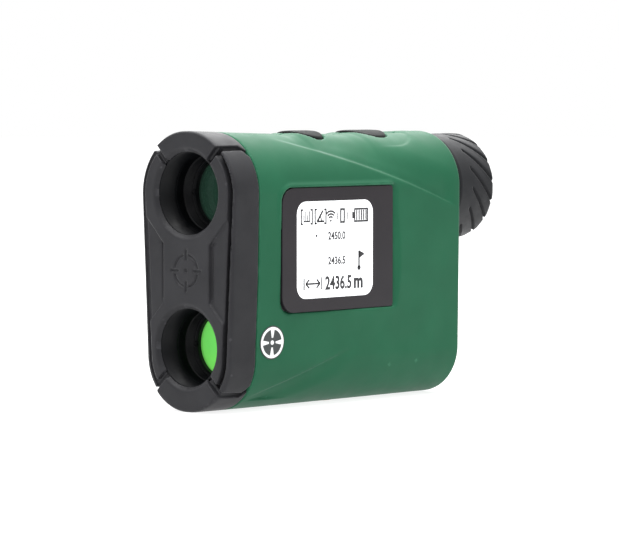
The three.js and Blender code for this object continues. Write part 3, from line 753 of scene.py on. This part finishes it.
def ring_plate(name, outer, inner, y_front, y_back, edge=0.14):
    """Frame on the display side between two outlines with the same number of points."""
    outer, inner = np.array(outer, float), np.array(inner, float)
    centre = outer.mean(0)

    def eased(path, amount):
        away = path - centre
        return path + away / np.linalg.norm(away, axis=1)[:, None] * amount

    rings = [(eased(outer, -edge), y_front), (outer, y_front + edge), (outer, y_back),
             (inner, y_back), (inner, y_front + edge), (eased(inner, edge * 0.6), y_front)]
    points = [(x, y, z) for ring, y in rings for x, z in ring]
    return crisp_object(name, points, grid_faces(len(rings), len(outer)), 35)


def make_window():
    outer = round_outline(WINDOW_LOW[0], WINDOW_HIGH[0], WINDOW_LOW[2], WINDOW_HIGH[2],
                          (1.0, 1.0, 4.6, 4.6))
    inner = round_outline(VISIBLE["x0"], VISIBLE["x1"], VISIBLE["z0"], VISIBLE["z1"], (3.6,) * 4)
    return ring_plate("display_window_border", outer, inner, FACE_Y, WINDOW_HIGH[1])


def make_screen():
    outline = round_outline(VISIBLE["x0"] - 0.4, VISIBLE["x1"] + 0.4, VISIBLE["z0"] - 0.4,
                            VISIBLE["z1"] + 0.4, (3.9,) * 4)
    return slab("lcd_screen_face", outline, SCREEN_Y, SCREEN_LOW[1] + 1.2, 0.05)


class Ink:
    """Collects thin prisms printed on the screen, in x and z."""

    def __init__(self, depth=0.05):
        self.points, self.faces, self.depth = [], [], depth

    def outline(self, path):
        first, count = len(self.points), len(path)
        for y in (SCREEN_Y - self.depth, SCREEN_Y + self.depth):
            self.points += [(x, y, z) for x, z in path]
        self.faces.append([first + i for i in range(count)])
        self.faces.append([first + count + i for i in reversed(range(count))])
        for i in range(count):
            j = (i + 1) % count
            self.faces.append([first + j, first + i, first + count + i, first + count + j])

    def bar(self, x0, x1, z0, z1):
        self.outline([(x0, z0), (x1, z0), (x1, z1), (x0, z1)])

    def line(self, a, b, width):
        ax, az, bx, bz = *a, *b
        length = math.hypot(bx - ax, bz - az)
        nx, nz = -(bz - az) / length * width / 2, (bx - ax) / length * width / 2
        self.outline([(ax - nx, az - nz), (bx - nx, bz - nz), (bx + nx, bz + nz), (ax + nx, az + nz)])

    def dashes(self, a, b, width, count):
        for i in range(count):
            t0, t1 = i / count, (i + 0.55) / count
            self.line((mix(a[0], b[0], t0), mix(a[1], b[1], t0)),
                      (mix(a[0], b[0], t1), mix(a[1], b[1], t1)), width)

    def disc(self, x, z, r, count=16):
        self.outline([(x + r * math.cos(2 * math.pi * i / count),
                       z + r * math.sin(2 * math.pi * i / count)) for i in range(count)])

    def arc(self, x, z, r, start, end, width, count=6):
        for i in range(count):
            a0 = math.radians(mix(start, end, i / count))
            a1 = math.radians(mix(start, end, (i + 1.08) / count))
            self.line((x + r * math.cos(a0), z + r * math.sin(a0)),
                      (x + r * math.cos(a1), z + r * math.sin(a1)), width)

    def box(self, x0, x1, z0, z1, width):
        self.bar(x0, x1, z0, z0 + width)
        self.bar(x0, x1, z1 - width, z1)
        self.bar(x0, x0 + width, z0 + width, z1 - width)
        self.bar(x1 - width, x1, z0 + width, z1 - width)

    def finish(self, name):
        obj = mesh_object(name, self.points, self.faces, smooth=False)
        weld(obj, 1e-7)
        return obj


def bracket(ink, x, z, height, side, width=0.46):
    ink.bar(x - width / 2, x + width / 2, z - height / 2, z + height / 2)
    for end in (-1, 1):
        at = z + end * (height / 2 - width / 2)
        x0, x1 = sorted((x, x + side * 0.75))
        ink.bar(x0, x1, at - width / 2, at + width / 2)


def make_ink():
    """Generic screen content: mode signs, signal arcs, battery, sight line and flag pole."""
    ink = Ink()
    z = 53.9
    for x, side in ((26.1, 1), (30.6, -1), (31.8, 1), (36.3, -1)):
        bracket(ink, x, z, 4.4, side)
    for i, tall in enumerate((1.6, 2.7, 1.6, 2.7)):
        ink.bar(27.05 + i * 0.78, 27.4 + i * 0.78, z - 1.1, z - 1.1 + tall)
    ink.bar(27.05, 29.74, z - 1.5, z - 1.1)
    ink.line((32.6, z - 1.4), (35.6, z - 1.4), 0.55)
    ink.line((32.7, z - 1.4), (35.0, z + 1.6), 0.6)
    ink.arc(32.7, z - 1.4, 1.8, 0, 50, 0.34)
    ink.disc(38.3, z - 1.3, 0.35)
    for r in (1.1, 1.9, 2.7):
        ink.arc(38.3, z - 1.3, r, 48, 132, 0.5)
    ink.box(42.2, 44.2, z - 2.1, z + 2.1, 0.55)
    for x, lean in ((41.3, -1), (45.1, 1)):
        ink.line((x, z - 1.2), (x + lean * 0.3, z), 0.26)
        ink.line((x + lean * 0.3, z), (x, z + 1.2), 0.26)
    ink.box(48.1, 54.1, z - 2.0, z + 2.0, 0.52)
    ink.bar(47.3, 48.1, z - 0.9, z + 0.9)
    for i in range(5):
        ink.bar(49.0 + i * 0.98, 49.5 + i * 0.98, z - 1.4, z + 1.4)
    ink.disc(32.4, 48.5, 0.38)
    pole = 50.2
    ink.bar(pole - 0.3, pole + 0.3, 38.9, 43.8)
    ink.outline([(pole + 0.1, 43.8), (pole + 0.1, 41.7), (pole + 2.5, 42.75)])
    ink.disc(pole, 38.9, 0.7)
    low = 35.1
    ink.line((28.1, low), (33.7, low), 0.5)
    for x, side in ((28.0, 1), (33.8, -1)):
        ink.line((x, low), (x + side * 1.4, low + 1.2), 0.5)
        ink.line((x, low), (x + side * 1.4, low - 1.2), 0.5)
        ink.bar(x - side * 0.75 - 0.22, x - side * 0.75 + 0.22, low - 1.7, low + 1.7)
    main = ink.finish("screen_marks")
    faint = Ink(0.03)
    faint.line((25.6, 51.0), (54.6, 51.0), 0.13)
    faint.dashes((32.4, 47.7), (32.4, 41.0), 0.13, 9)
    faint.dashes((33.2, 48.2), (49.0, 42.9), 0.13, 17)
    return main, faint.finish("screen_guides")


def digits(name, text, x0, x1, z0, height, weight=0.05):
    """Flat figures from the built-in font that fill the box from x0 to x1 on the screen."""
    curve = bpy.data.curves.new(name, "FONT")
    curve.body = text
    curve.size = height * MM
    curve.extrude = 0.05 * MM
    curve.offset = weight * MM
    curve.resolution_u = 3
    holder = add_object(name + "_curve", curve)
    bpy.context.view_layer.update()
    mesh = bpy.data.meshes.new_from_object(holder)
    bpy.data.objects.remove(holder)
    co = np.zeros(len(mesh.vertices) * 3)
    mesh.vertices.foreach_get("co", co)
    co = co.reshape(-1, 3)
    low, high = co.min(0), co.max(0)
    share = (co - low) / (high - low)
    out = np.stack([(X0 + mix(x0, x1, share[:, 0])) * MM, SCREEN_Y * MM - co[:, 2],
                    (z0 + height * share[:, 1]) * MM], 1)
    mesh.vertices.foreach_set("co", out.ravel())
    mesh.name = name
    obj = add_object(name, mesh)
    weld(obj, 1e-7)
    return obj


# ------------ badge
def wall_half(x, z):
    """Half-width of the body at height z, where the wall can be seen from the side."""
    s = section(x)
    z_low, z_high = s["r_bottom"], s["height"] - s["r_top"]
    share = np.clip((z - z_low) / (z_high - z_low), 0, 1)
    half = mix(s["bottom"], s["top"], share) + s["bulge"] * np.sin(np.pi * share) ** 2
    drop = s["r_bottom"] - np.sqrt(s["r_bottom"] ** 2 - np.minimum(z - z_low, 0) ** 2)
    return half - drop


BADGE_BOX = node_box("badge_disc")
BADGE_X, BADGE_Z = middle(BADGE_BOX, 0), middle(BADGE_BOX, 2)
BADGE_R = (BADGE_BOX[1][0] - BADGE_BOX[0][0]) / 2
MARK_LIFT = 0.17


def wall_patch(name, rings, lift, sink=0.4, segments=72, start=0.0, end=360.0):
    """Thin piece that follows the wall round the badge's centre, between radii in rings."""
    closed = end - start >= 360
    count = segments if closed else segments + 1
    points = []
    levels = [(rings[0], -sink)] + [(r, lift) for r in rings] + [(rings[-1], -sink)]
    for r, height in levels:
        for s in range(count):
            a = math.radians(start + (end - start) * s / segments)
            x, z = BADGE_X + r * math.cos(a), BADGE_Z + r * math.sin(a)
            points.append((x, -wall_half(x, z) - height, z))
    rows = len(levels)
    faces = grid_faces(rows, count, columns=segments)
    if not closed:
        faces.append([k * count for k in range(rows)])
        faces.append([k * count + segments for k in reversed(range(rows))])
    return crisp_object(name, points, faces, 35)


def make_badge():
    disc = wall_patch("badge_plate", [0.01, 1.5, 3.0, 4.2, BADGE_R - 0.1, BADGE_R], 0.10)
    marks = [wall_patch("badge_ring", [3.65, 4.0, 4.35], MARK_LIFT),
             wall_patch("badge_dot", [0.01, 0.35, 0.62], MARK_LIFT)]
    for i in range(4):
        marks.append(wall_patch(f"badge_tick_{i + 1}", [1.35, 2.1, 2.9, 3.65], MARK_LIFT,
                                segments=4, start=90 * i - 11, end=90 * i + 11))
    return disc, marks


# ------------ keys and flap
def key_field(name):
    centre, a, b = key_measures(name)
    bottom = KEY_PIECES[name][0][2]

    def field(x, y, z):
        oval = ellipse(x - centre, y, a, b)
        r = np.hypot(y, z - VIEW_Z)
        along = (x - centre) / a
        crown = r - KEY_CROWN + 0.25 * along ** 2
        finger = 0.12 * np.exp(-(((x - centre) / (a * 0.5)) ** 2 + (y / (b * 0.55)) ** 2))
        plate = np.maximum(round_max(oval, crown + finger, 0.6), KEY_CROWN - 1.8 - r)
        stem = ellipse(x - centre, y, a - 2.0, 3.9)
        stem = np.maximum(stem, np.maximum(bottom - z, z - VIEW_Z - KEY_CROWN + 1.2))
        flange = ellipse(x - centre, y, a - 1.3, 4.6)
        flange = np.maximum(flange, np.maximum(bottom - z, z - bottom - 0.7))
        body = smooth_min(plate, stem, 0.3)
        return smooth_min(body, flange, 0.1)

    return field


def make_key(name):
    low, high = KEY_PIECES[name]
    return carve(name + "_cap", key_field(name), low - 0.7, high + 0.7, 0.3)


def make_flap():
    """Rubber port cover: soft-edged flap with a raised rib and plug tongue."""
    low, high = node_box("usb_cover")
    front = BODY_END + 0.3

    def field(x, y, z):
        flap = round_rect(y, z, low[1], high[1], low[2], high[2], 1.8)
        flap = round_max(flap, np.maximum(x - high[0] + 0.45, front - x), 0.35)
        rib = np.abs(round_rect(y, z, low[1] + 1.4, high[1] - 1.4, low[2] + 1.4, high[2] - 1.4, 1)) - 0.3
        rib = round_max(rib, x - high[0], 0.15)
        rib = np.maximum(rib, front - x)
        tongue = round_rect(y, z, -3.4, 3.4, 29.9, 31.5, 0.7)
        tongue = np.maximum(tongue, np.maximum(low[0] - x, x - front - 0.3))
        return np.minimum(smooth_min(flap, rib, 0.25), tongue)

    return carve("usb_cover_flap", field, low - 0.6, high + 0.6, 0.24)


# ------------ materials
def linear(red, green, blue):
    """Screen colour, 0 to 255, as linear light."""
    out = []
    for value in (red, green, blue):
        c = value / 255
        out.append(c / 12.92 if c <= 0.04045 else ((c + 0.055) / 1.055) ** 2.4)
    return (*out, 1.0)


class Finish:
    """One procedural material: mottled colour, lighter sharp edges, uneven gloss and surface grain."""

    def __init__(self, name, colour, rough, metal=0.0, **sockets):
        self.material = bpy.data.materials.new(name)
        self.material.use_nodes = True
        self.nodes = self.material.node_tree.nodes
        self.links = self.material.node_tree.links
        self.shader = self.nodes["Principled BSDF"]
        self.coords = self.nodes.new("ShaderNodeTexCoord").outputs["Object"]
        self.colour = None
        self.height = None
        self.shader.inputs["Base Color"].default_value = colour
        self.shader.inputs["Roughness"].default_value = rough
        self.shader.inputs["Metallic"].default_value = metal
        for label, value in sockets.items():
            self.shader.inputs[label.replace("_", " ")].default_value = value
        self.base, self.rough = colour, rough

    def noise(self, size, detail, stretch=(1, 1, 1)):
        """Noise with features of about size millimetres."""
        node = self.nodes.new("ShaderNodeTexNoise")
        node.inputs["Scale"].default_value = 1
        node.inputs["Detail"].default_value = detail
        shape = self.nodes.new("ShaderNodeMapping")
        shape.inputs["Scale"].default_value = [s / (size * MM) for s in stretch]
        self.links.new(self.coords, shape.inputs["Vector"])
        self.links.new(shape.outputs["Vector"], node.inputs["Vector"])
        return node.outputs["Fac"]

    def cells(self, size):
        """Voronoi cells of about size millimetres, as in a moulded spark texture."""
        node = self.nodes.new("ShaderNodeTexVoronoi")
        node.inputs["Scale"].default_value = 1 / (size * MM)
        self.links.new(self.coords, node.inputs["Vector"])
        return node.outputs["Distance"]

    def span(self, value, low, high, out_low, out_high):
        node = self.nodes.new("ShaderNodeMapRange")
        for socket, number in zip(node.inputs[1:5], (low, high, out_low, out_high)):
            socket.default_value = number
        self.links.new(value, node.inputs[0])
        return node.outputs[0]

    def math(self, kind, a, b):
        node = self.nodes.new("ShaderNodeMath")
        node.operation = kind
        for socket, value in zip(node.inputs, (a, b)):
            if isinstance(value, (int, float)):
                socket.default_value = value
            else:
                self.links.new(value, socket)
        return node.outputs[0]

    def tint(self, other, share):
        """Mixes another colour in where share is high."""
        node = self.nodes.new("ShaderNodeMix")
        node.data_type = "RGBA"
        if self.colour is None:
            node.inputs["A"].default_value = self.base
        else:
            self.links.new(self.colour, node.inputs["A"])
        node.inputs["B"].default_value = other
        self.links.new(share, node.inputs["Factor"])
        self.colour = node.outputs["Result"]
        return self

    def mottle(self, other, size):
        return self.tint(other, self.span(self.noise(size, 4), 0.35, 0.68, 0, 1))

    def worn(self, other, end, strength):
        """Lighter colour on sharp outer edges, broken up by noise."""
        edge = self.nodes.new("ShaderNodeNewGeometry").outputs["Pointiness"]
        share = self.math("MULTIPLY", self.span(edge, 0.53, end, 0, strength),
                          self.span(self.noise(2.2, 5), 0.4, 0.62, 0.25, 1))
        return self.tint(other, share)

    def gloss(self, spread, size):
        value = self.span(self.noise(size, 4), 0.3, 0.7, self.rough - spread, self.rough + spread)
        self.links.new(value, self.shader.inputs["Roughness"])
        return self

    def bump(self, value, depth, strength):
        """Adds a bump of depth millimetres."""
        node = self.nodes.new("ShaderNodeBump")
        node.inputs["Strength"].default_value = strength
        node.inputs["Distance"].default_value = depth * MM
        self.links.new(value, node.inputs["Height"])
        if self.height is not None:
            self.links.new(self.height, node.inputs["Normal"])
        self.height = node.outputs["Normal"]
        return self

    def glow(self, colour, strength):
        self.shader.inputs["Emission Color"].default_value = colour
        self.shader.inputs["Emission Strength"].default_value = strength
        return self

    def done(self):
        if self.colour is not None:
            self.links.new(self.colour, self.shader.inputs["Base Color"])
        if self.height is not None:
            self.links.new(self.height, self.shader.inputs["Normal"])
        return self.material


# Each slot's material: its two colours with the patch size of their mottle, its roughness with
# the spread and size of its gloss, its lighter sharp edges as colour, end and strength, its grain
# as (size, detail, depth, strength), where detail 0 means cells, its glow, which is painted light
# on the screen and lenses, and shader settings.
FINISHES = dict(
    green_housing=dict(
        name="green_housing_paint", colour=(26, 84, 58), other=(29, 89, 62), patch=14, rough=0.5,
        gloss=(0.05, 6), worn=((84, 150, 118), 0.6, 0.35),
        grain=[(0.35, 2, 0.012, 0.5), (5, 2, 0.02, 0.3)],
        Specular_IOR_Level=0.14, Sheen_Weight=0.04, Sheen_Roughness=0.4),
    cap_plastic=dict(
        name="cap_moulded_plastic", colour=(31, 31, 34), other=(37, 37, 40), patch=9, rough=0.46,
        gloss=(0.06, 4), worn=((84, 84, 88), 0.62, 0.3),
        grain=[(0.3, 0, 0.02, 0.35), (0.9, 3, 0.012, 0.4)],
        Specular_IOR_Level=0.2, Sheen_Weight=0.04, Sheen_Roughness=0.5),
    # Black plastic made darker than the plastic itself, as painted shade inside the optic tubes; the
    # collar and lock rings share it.
    black_plastic=dict(
        name="tube_black_with_painted_shade", colour=(7, 8, 10), other=(10, 11, 14), patch=6, rough=0.42,
        gloss=(0.08, 3), grain=[(0.5, 3, 0.02, 0.5)], Specular_IOR_Level=0.14),
    white_plastic=dict(
        name="white_moulded_plastic", colour=(228, 229, 226), other=(216, 218, 214), patch=8,
        rough=0.5, gloss=(0.06, 4), grain=[(0.6, 2, 0.01, 0.4)]),
    grip_rubber=dict(
        name="grip_black_rubber", colour=(22, 23, 26), other=(28, 29, 32), patch=7, rough=0.52,
        gloss=(0.07, 3), worn=((66, 66, 70), 0.62, 0.3),
        grain=[(0.35, 0, 0.03, 0.4), (1.4, 3, 0.02, 0.4)],
        Specular_IOR_Level=0.18, Sheen_Weight=0.08, Sheen_Roughness=0.45),
    button_rubber=dict(
        name="key_soft_rubber", colour=(18, 21, 20), other=(22, 25, 24), patch=5, rough=0.6,
        gloss=(0.06, 3), worn=((66, 70, 70), 0.62, 0.3), grain=[(0.28, 0, 0.02, 0.4)],
        Specular_IOR_Level=0.05, Sheen_Weight=0.05, Sheen_Roughness=0.5),
    seal_rubber=dict(
        name="seal_black_rubber", colour=(22, 22, 24), other=(30, 30, 32), patch=3, rough=0.62,
        gloss=(0.06, 2), grain=[(0.4, 3, 0.02, 0.5)], Sheen_Weight=0.15),
    display_window=dict(
        name="display_border_print", colour=(32, 29, 33), other=(36, 32, 36), patch=18, rough=0.34,
        gloss=(0.05, 8), grain=[(3, 2, 0.004, 0.3)],
        Specular_IOR_Level=0.2, Coat_Weight=0.12, Coat_Roughness=0.2),
    # The screen's glow is painted light: the screen itself is no lamp.
    display_screen=dict(
        name="display_white_screen", colour=(238, 239, 240), other=(244, 245, 246), patch=12,
        rough=0.32, gloss=(0.04, 6), grain=[(0.3, 1, 0.002, 0.3)], glow=((246, 248, 250), 0.6),
        Specular_IOR_Level=0.4),
    ink=dict(
        name="screen_ink", colour=(30, 30, 34), other=(38, 38, 42), patch=2, rough=0.4,
        gloss=(0.04, 2), grain=[(0.3, 1, 0.002, 0.3)]),
    faint_ink=dict(
        name="screen_faint_ink", colour=(196, 198, 202), other=(186, 188, 192), patch=2, rough=0.4,
        gloss=(0.04, 2), grain=[(0.3, 1, 0.002, 0.3)]),
    badge_print=dict(
        name="badge_dark_print", colour=(40, 46, 46), other=(46, 52, 52), patch=2, rough=0.36,
        gloss=(0.05, 2), grain=[(0.3, 2, 0.006, 0.4)], Specular_IOR_Level=0.45),
    badge_white=dict(
        name="badge_white_print", colour=(240, 242, 242), other=(232, 234, 234), patch=2,
        rough=0.38, gloss=(0.05, 2), grain=[(0.3, 2, 0.006, 0.4)]),
    # The dark lens's glow is a painted reflection on its coating.
    dark_glass=dict(
        name="dark_coated_glass", colour=(18, 34, 28), other=(28, 50, 40), patch=9, rough=0.08,
        gloss=(0.02, 5), grain=[(2.5, 1, 0.001, 0.3)], glow=((40, 66, 54), 0.45),
        Coat_Weight=1.0, Coat_Roughness=0.03, Coat_IOR=1.6),
    # The green lens's glow is a painted reflection of the light on its green coating.
    green_coated_glass=dict(
        name="green_coated_glass_lens", colour=(70, 170, 80), other=(96, 190, 70), patch=11,
        rough=0.1, gloss=(0.02, 5), grain=[(2.5, 1, 0.001, 0.3)], glow=((112, 208, 92), 0.85),
        Coat_Weight=1.0, Coat_Roughness=0.03, Coat_IOR=1.6),
    clear_glass=dict(
        name="clear_optical_glass", colour=(225, 235, 232), other=(236, 242, 240), patch=6,
        rough=0.04, gloss=(0.02, 5), grain=[(2.5, 1, 0.001, 0.3)],
        Transmission_Weight=0.9, IOR=1.52),
    alloy=dict(
        name="cast_alloy", colour=(150, 152, 156), other=(128, 130, 134), patch=5, rough=0.4,
        metal=1.0, gloss=(0.08, 3), grain=[(0.7, 4, 0.03, 0.5)]),
    steel=dict(
        name="turned_steel", colour=(160, 160, 164), other=(120, 121, 126), patch=3, rough=0.28,
        metal=1.0, gloss=(0.07, 2), grain=[(0.3, 3, 0.01, 0.5)], Anisotropic=0.4),
    brass=dict(
        name="machined_brass", colour=(190, 152, 84), other=(156, 122, 66), patch=3, rough=0.3,
        metal=1.0, gloss=(0.08, 2), grain=[(0.3, 3, 0.01, 0.5)]),
    circuit_board=dict(
        name="circuit_board_mask", colour=(20, 74, 48), other=(34, 96, 60), patch=4, rough=0.35,
        gloss=(0.06, 3), grain=[(1.6, 0, 0.03, 0.4)], Coat_Weight=0.3),
    battery_wrap=dict(
        name="battery_film", colour=(64, 96, 150), other=(54, 84, 138), patch=9, rough=0.32,
        gloss=(0.06, 5), grain=[(4, 2, 0.03, 0.4)], Coat_Weight=0.3),
    ribbon_film=dict(
        name="amber_ribbon_film", colour=(196, 128, 48), other=(176, 108, 40), patch=3, rough=0.28,
        gloss=(0.05, 3), grain=[(0.5, 1, 0.02, 0.4, (1, 1, 0.1))], Coat_Weight=0.4))


def make_material(name, colour, other, patch, rough, gloss, grain, metal=0.0, worn=None, glow=None,
                  **sockets):
    """One row of FINISHES as a material."""
    made = Finish(name, linear(*colour), rough, metal, **sockets)
    made.mottle(linear(*other), patch).gloss(*gloss)
    if worn:
        made.worn(linear(*worn[0]), *worn[1:])
    for size, detail, depth, strength, *stretch in grain:
        made.bump(made.noise(size, detail, *stretch) if detail else made.cells(size), depth, strength)
    if glow:
        made.glow(linear(*glow[0]), glow[1])
    return made.done()


# ------------ assembly
def fit(obj, body, slot, materials, *nodes, finish=None):
    """Gives a piece its finish, picked by its slot unless another is named, sets it on its body and
    hides the CAD nodes that it stands for.
    """
    obj.data.materials.clear()
    obj.data.materials.append(materials[finish or slot])
    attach(obj, body)
    if nodes:
        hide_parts(*nodes)
    return obj


def assemble():
    materials = {slot: make_material(**row) for slot, row in FINISHES.items()}
    for name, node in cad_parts.items():
        for i, old in enumerate(node.data.materials):
            node.data.materials[i] = materials[old.name.split(".")[0]]

    for name, shell in make_shells().items():
        fit(shell, "body", "green_housing", materials, name)
    cap, plate = make_cap()
    fit(cap, "body", "cap_plastic", materials, "front_cap")
    fit(plate, "body", "cap_plastic", materials, "front_plate")

    for kind, box, centre, radius in (("objective", VIEW_BOX, VIEW_Z, VIEW_R),
                                      ("receiver", RECEIVE_BOX, RECEIVE_Z, RECEIVE_R)):
        tube = make_tube(kind + "_barrel", box, centre, radius)
        fit(tube, "body", "black_plastic", materials, kind + "_tube")
        ring = make_retainer(kind + "_lock_ring", kind + "_retainer", centre)
        fit(ring, "body", "black_plastic", materials, kind + "_retainer")
        lens = make_lens(kind + "_lens_glass", kind + "_lens", centre)
        glass = "dark_glass" if kind == "objective" else "green_coated_glass"
        fit(lens, "body", glass, materials, kind + "_lens")

    fit(make_window(), "body", "display_window", materials, "display_window")
    fit(make_screen(), "body", "display_screen", materials, "lcd_panel")
    marks, guides = make_ink()
    fit(marks, "body", "display_screen", materials, finish="ink")
    fit(guides, "body", "display_screen", materials, finish="faint_ink")
    for name, text, x0, x1, z0, height, weight in (
            ("screen_slope", "2450.0", 37.2, 44.4, 47.2, 2.3, 0.06),
            ("screen_drop", "2436.5", 37.2, 44.4, 40.2, 2.3, 0.06),
            ("screen_range", "2436.5", 36.0, 47.0, 33.1, 4.0, 0.12),
            ("screen_unit", "m", 48.0, 51.8, 33.1, 3.0, 0.12)):
        fit(digits(name, text, x0, x1, z0, height, weight), "body", "display_screen", materials,
            finish="ink")

    disc, marks = make_badge()
    fit(disc, "body", "badge_print", materials, "badge_disc")
    for mark in marks:
        fit(mark, "body", "badge_print", materials, finish="badge_white")

    for name, body in (("button_power", "power_key"), ("button_mode", "mode_key")):
        fit(make_key(name), body, "button_rubber", materials, name)
    fit(make_flap(), "port_flap", "grip_rubber", materials, "usb_cover")
    fit(make_collar(), "body", "black_plastic", materials, "eyepiece_tube")
    fit(make_grip(), "diopter", "grip_rubber", materials, "diopter_grip")


# ------------ stage, light and camera
EYE = (-0.6630, -0.6082, 0.0868)
AIM = (0.7320, 0.6792, -0.0539)
FOCAL = 180.45
AIR_LIGHT = 0.12
SKY_LIGHT = 2.4


def set_stage():
    radius, rings, spokes, level = 6.0, 12, 72, -0.1 * MM
    points = [(0, 0, level)]
    for k in range(1, rings + 1):
        r = radius * (k / rings) ** 2
        points += [(r * math.cos(2 * math.pi * s / spokes), r * math.sin(2 * math.pi * s / spokes),
                    level) for s in range(spokes)]
    faces = [(0, 1 + s, 1 + (s + 1) % spokes) for s in range(spokes)]
    for k in range(rings - 1):
        a, b = 1 + k * spokes, 1 + (k + 1) * spokes
        faces += [(a + s, b + s, b + (s + 1) % spokes, a + (s + 1) % spokes) for s in range(spokes)]
    mesh = bpy.data.meshes.new("studio_floor")
    mesh.from_pydata(points, [], faces)
    floor = add_object("studio_floor", mesh)
    pale = Finish("studio_floor_paper", linear(150, 150, 150), 0.8, Specular_IOR_Level=0.0)
    pale.mottle(linear(152, 152, 152), 300).bump(pale.noise(1.5, 2), 0.01, 0.2)
    floor.data.materials.append(pale.glow((1, 1, 1, 1), 0.85).done())

    world = bpy.data.worlds.new("studio_air")
    bpy.context.scene.world = world
    world.use_nodes = True
    nodes, links = world.node_tree.nodes, world.node_tree.links
    height = nodes.new("ShaderNodeSeparateXYZ")
    links.new(nodes.new("ShaderNodeTexCoord").outputs["Generated"], height.inputs["Vector"])
    sky = nodes.new("ShaderNodeMapRange")
    sky.inputs["To Min"].default_value = AIR_LIGHT
    sky.inputs["To Max"].default_value = SKY_LIGHT
    links.new(height.outputs["Z"], sky.inputs["Value"])
    seen = nodes.new("ShaderNodeMapRange")
    seen.inputs["To Max"].default_value = 1.0
    links.new(sky.outputs["Result"], seen.inputs["To Min"])
    links.new(nodes.new("ShaderNodeLightPath").outputs["Is Camera Ray"], seen.inputs["Value"])
    links.new(seen.outputs["Result"], nodes["Background"].inputs["Strength"])
    nodes["Background"].inputs["Color"].default_value = (1, 1, 1, 1)


def add_light(name, place_at, target, size, power):
    lamp = bpy.data.lights.new(name, "AREA")
    lamp.shape = "RECTANGLE"
    lamp.size, lamp.size_y = size
    lamp.energy = power
    obj = add_object(name, lamp)
    obj.location = place_at
    obj.rotation_euler = (Vector(target) - Vector(place_at)).to_track_quat("-Z", "Y").to_euler()


def set_lights():
    target = (0, 0, 0.04)
    add_light("overhead_softbox", (0.0, 0.05, 0.9), target, (0.9, 0.9), 12.0)
    add_light("back_softbox", (0.55, 0.5, 0.55), target, (0.9, 0.6), 4.5)
    add_light("front_softbox", (-1.1, 0.1, 0.35), target, (0.7, 0.7), 2.0)


def set_camera():
    camera = bpy.data.cameras.new("main_camera")
    camera.lens = FOCAL
    camera.sensor_width = 36
    camera.clip_start = 0.02
    obj = add_object("main_camera", camera)
    obj.location = EYE
    obj.rotation_euler = Vector(AIM).to_track_quat("-Z", "Y").to_euler()
    bpy.context.scene.camera = obj


bpy.context.scene.view_settings.view_transform = "Standard"
set_camera()
set_stage()
set_lights()
assemble()
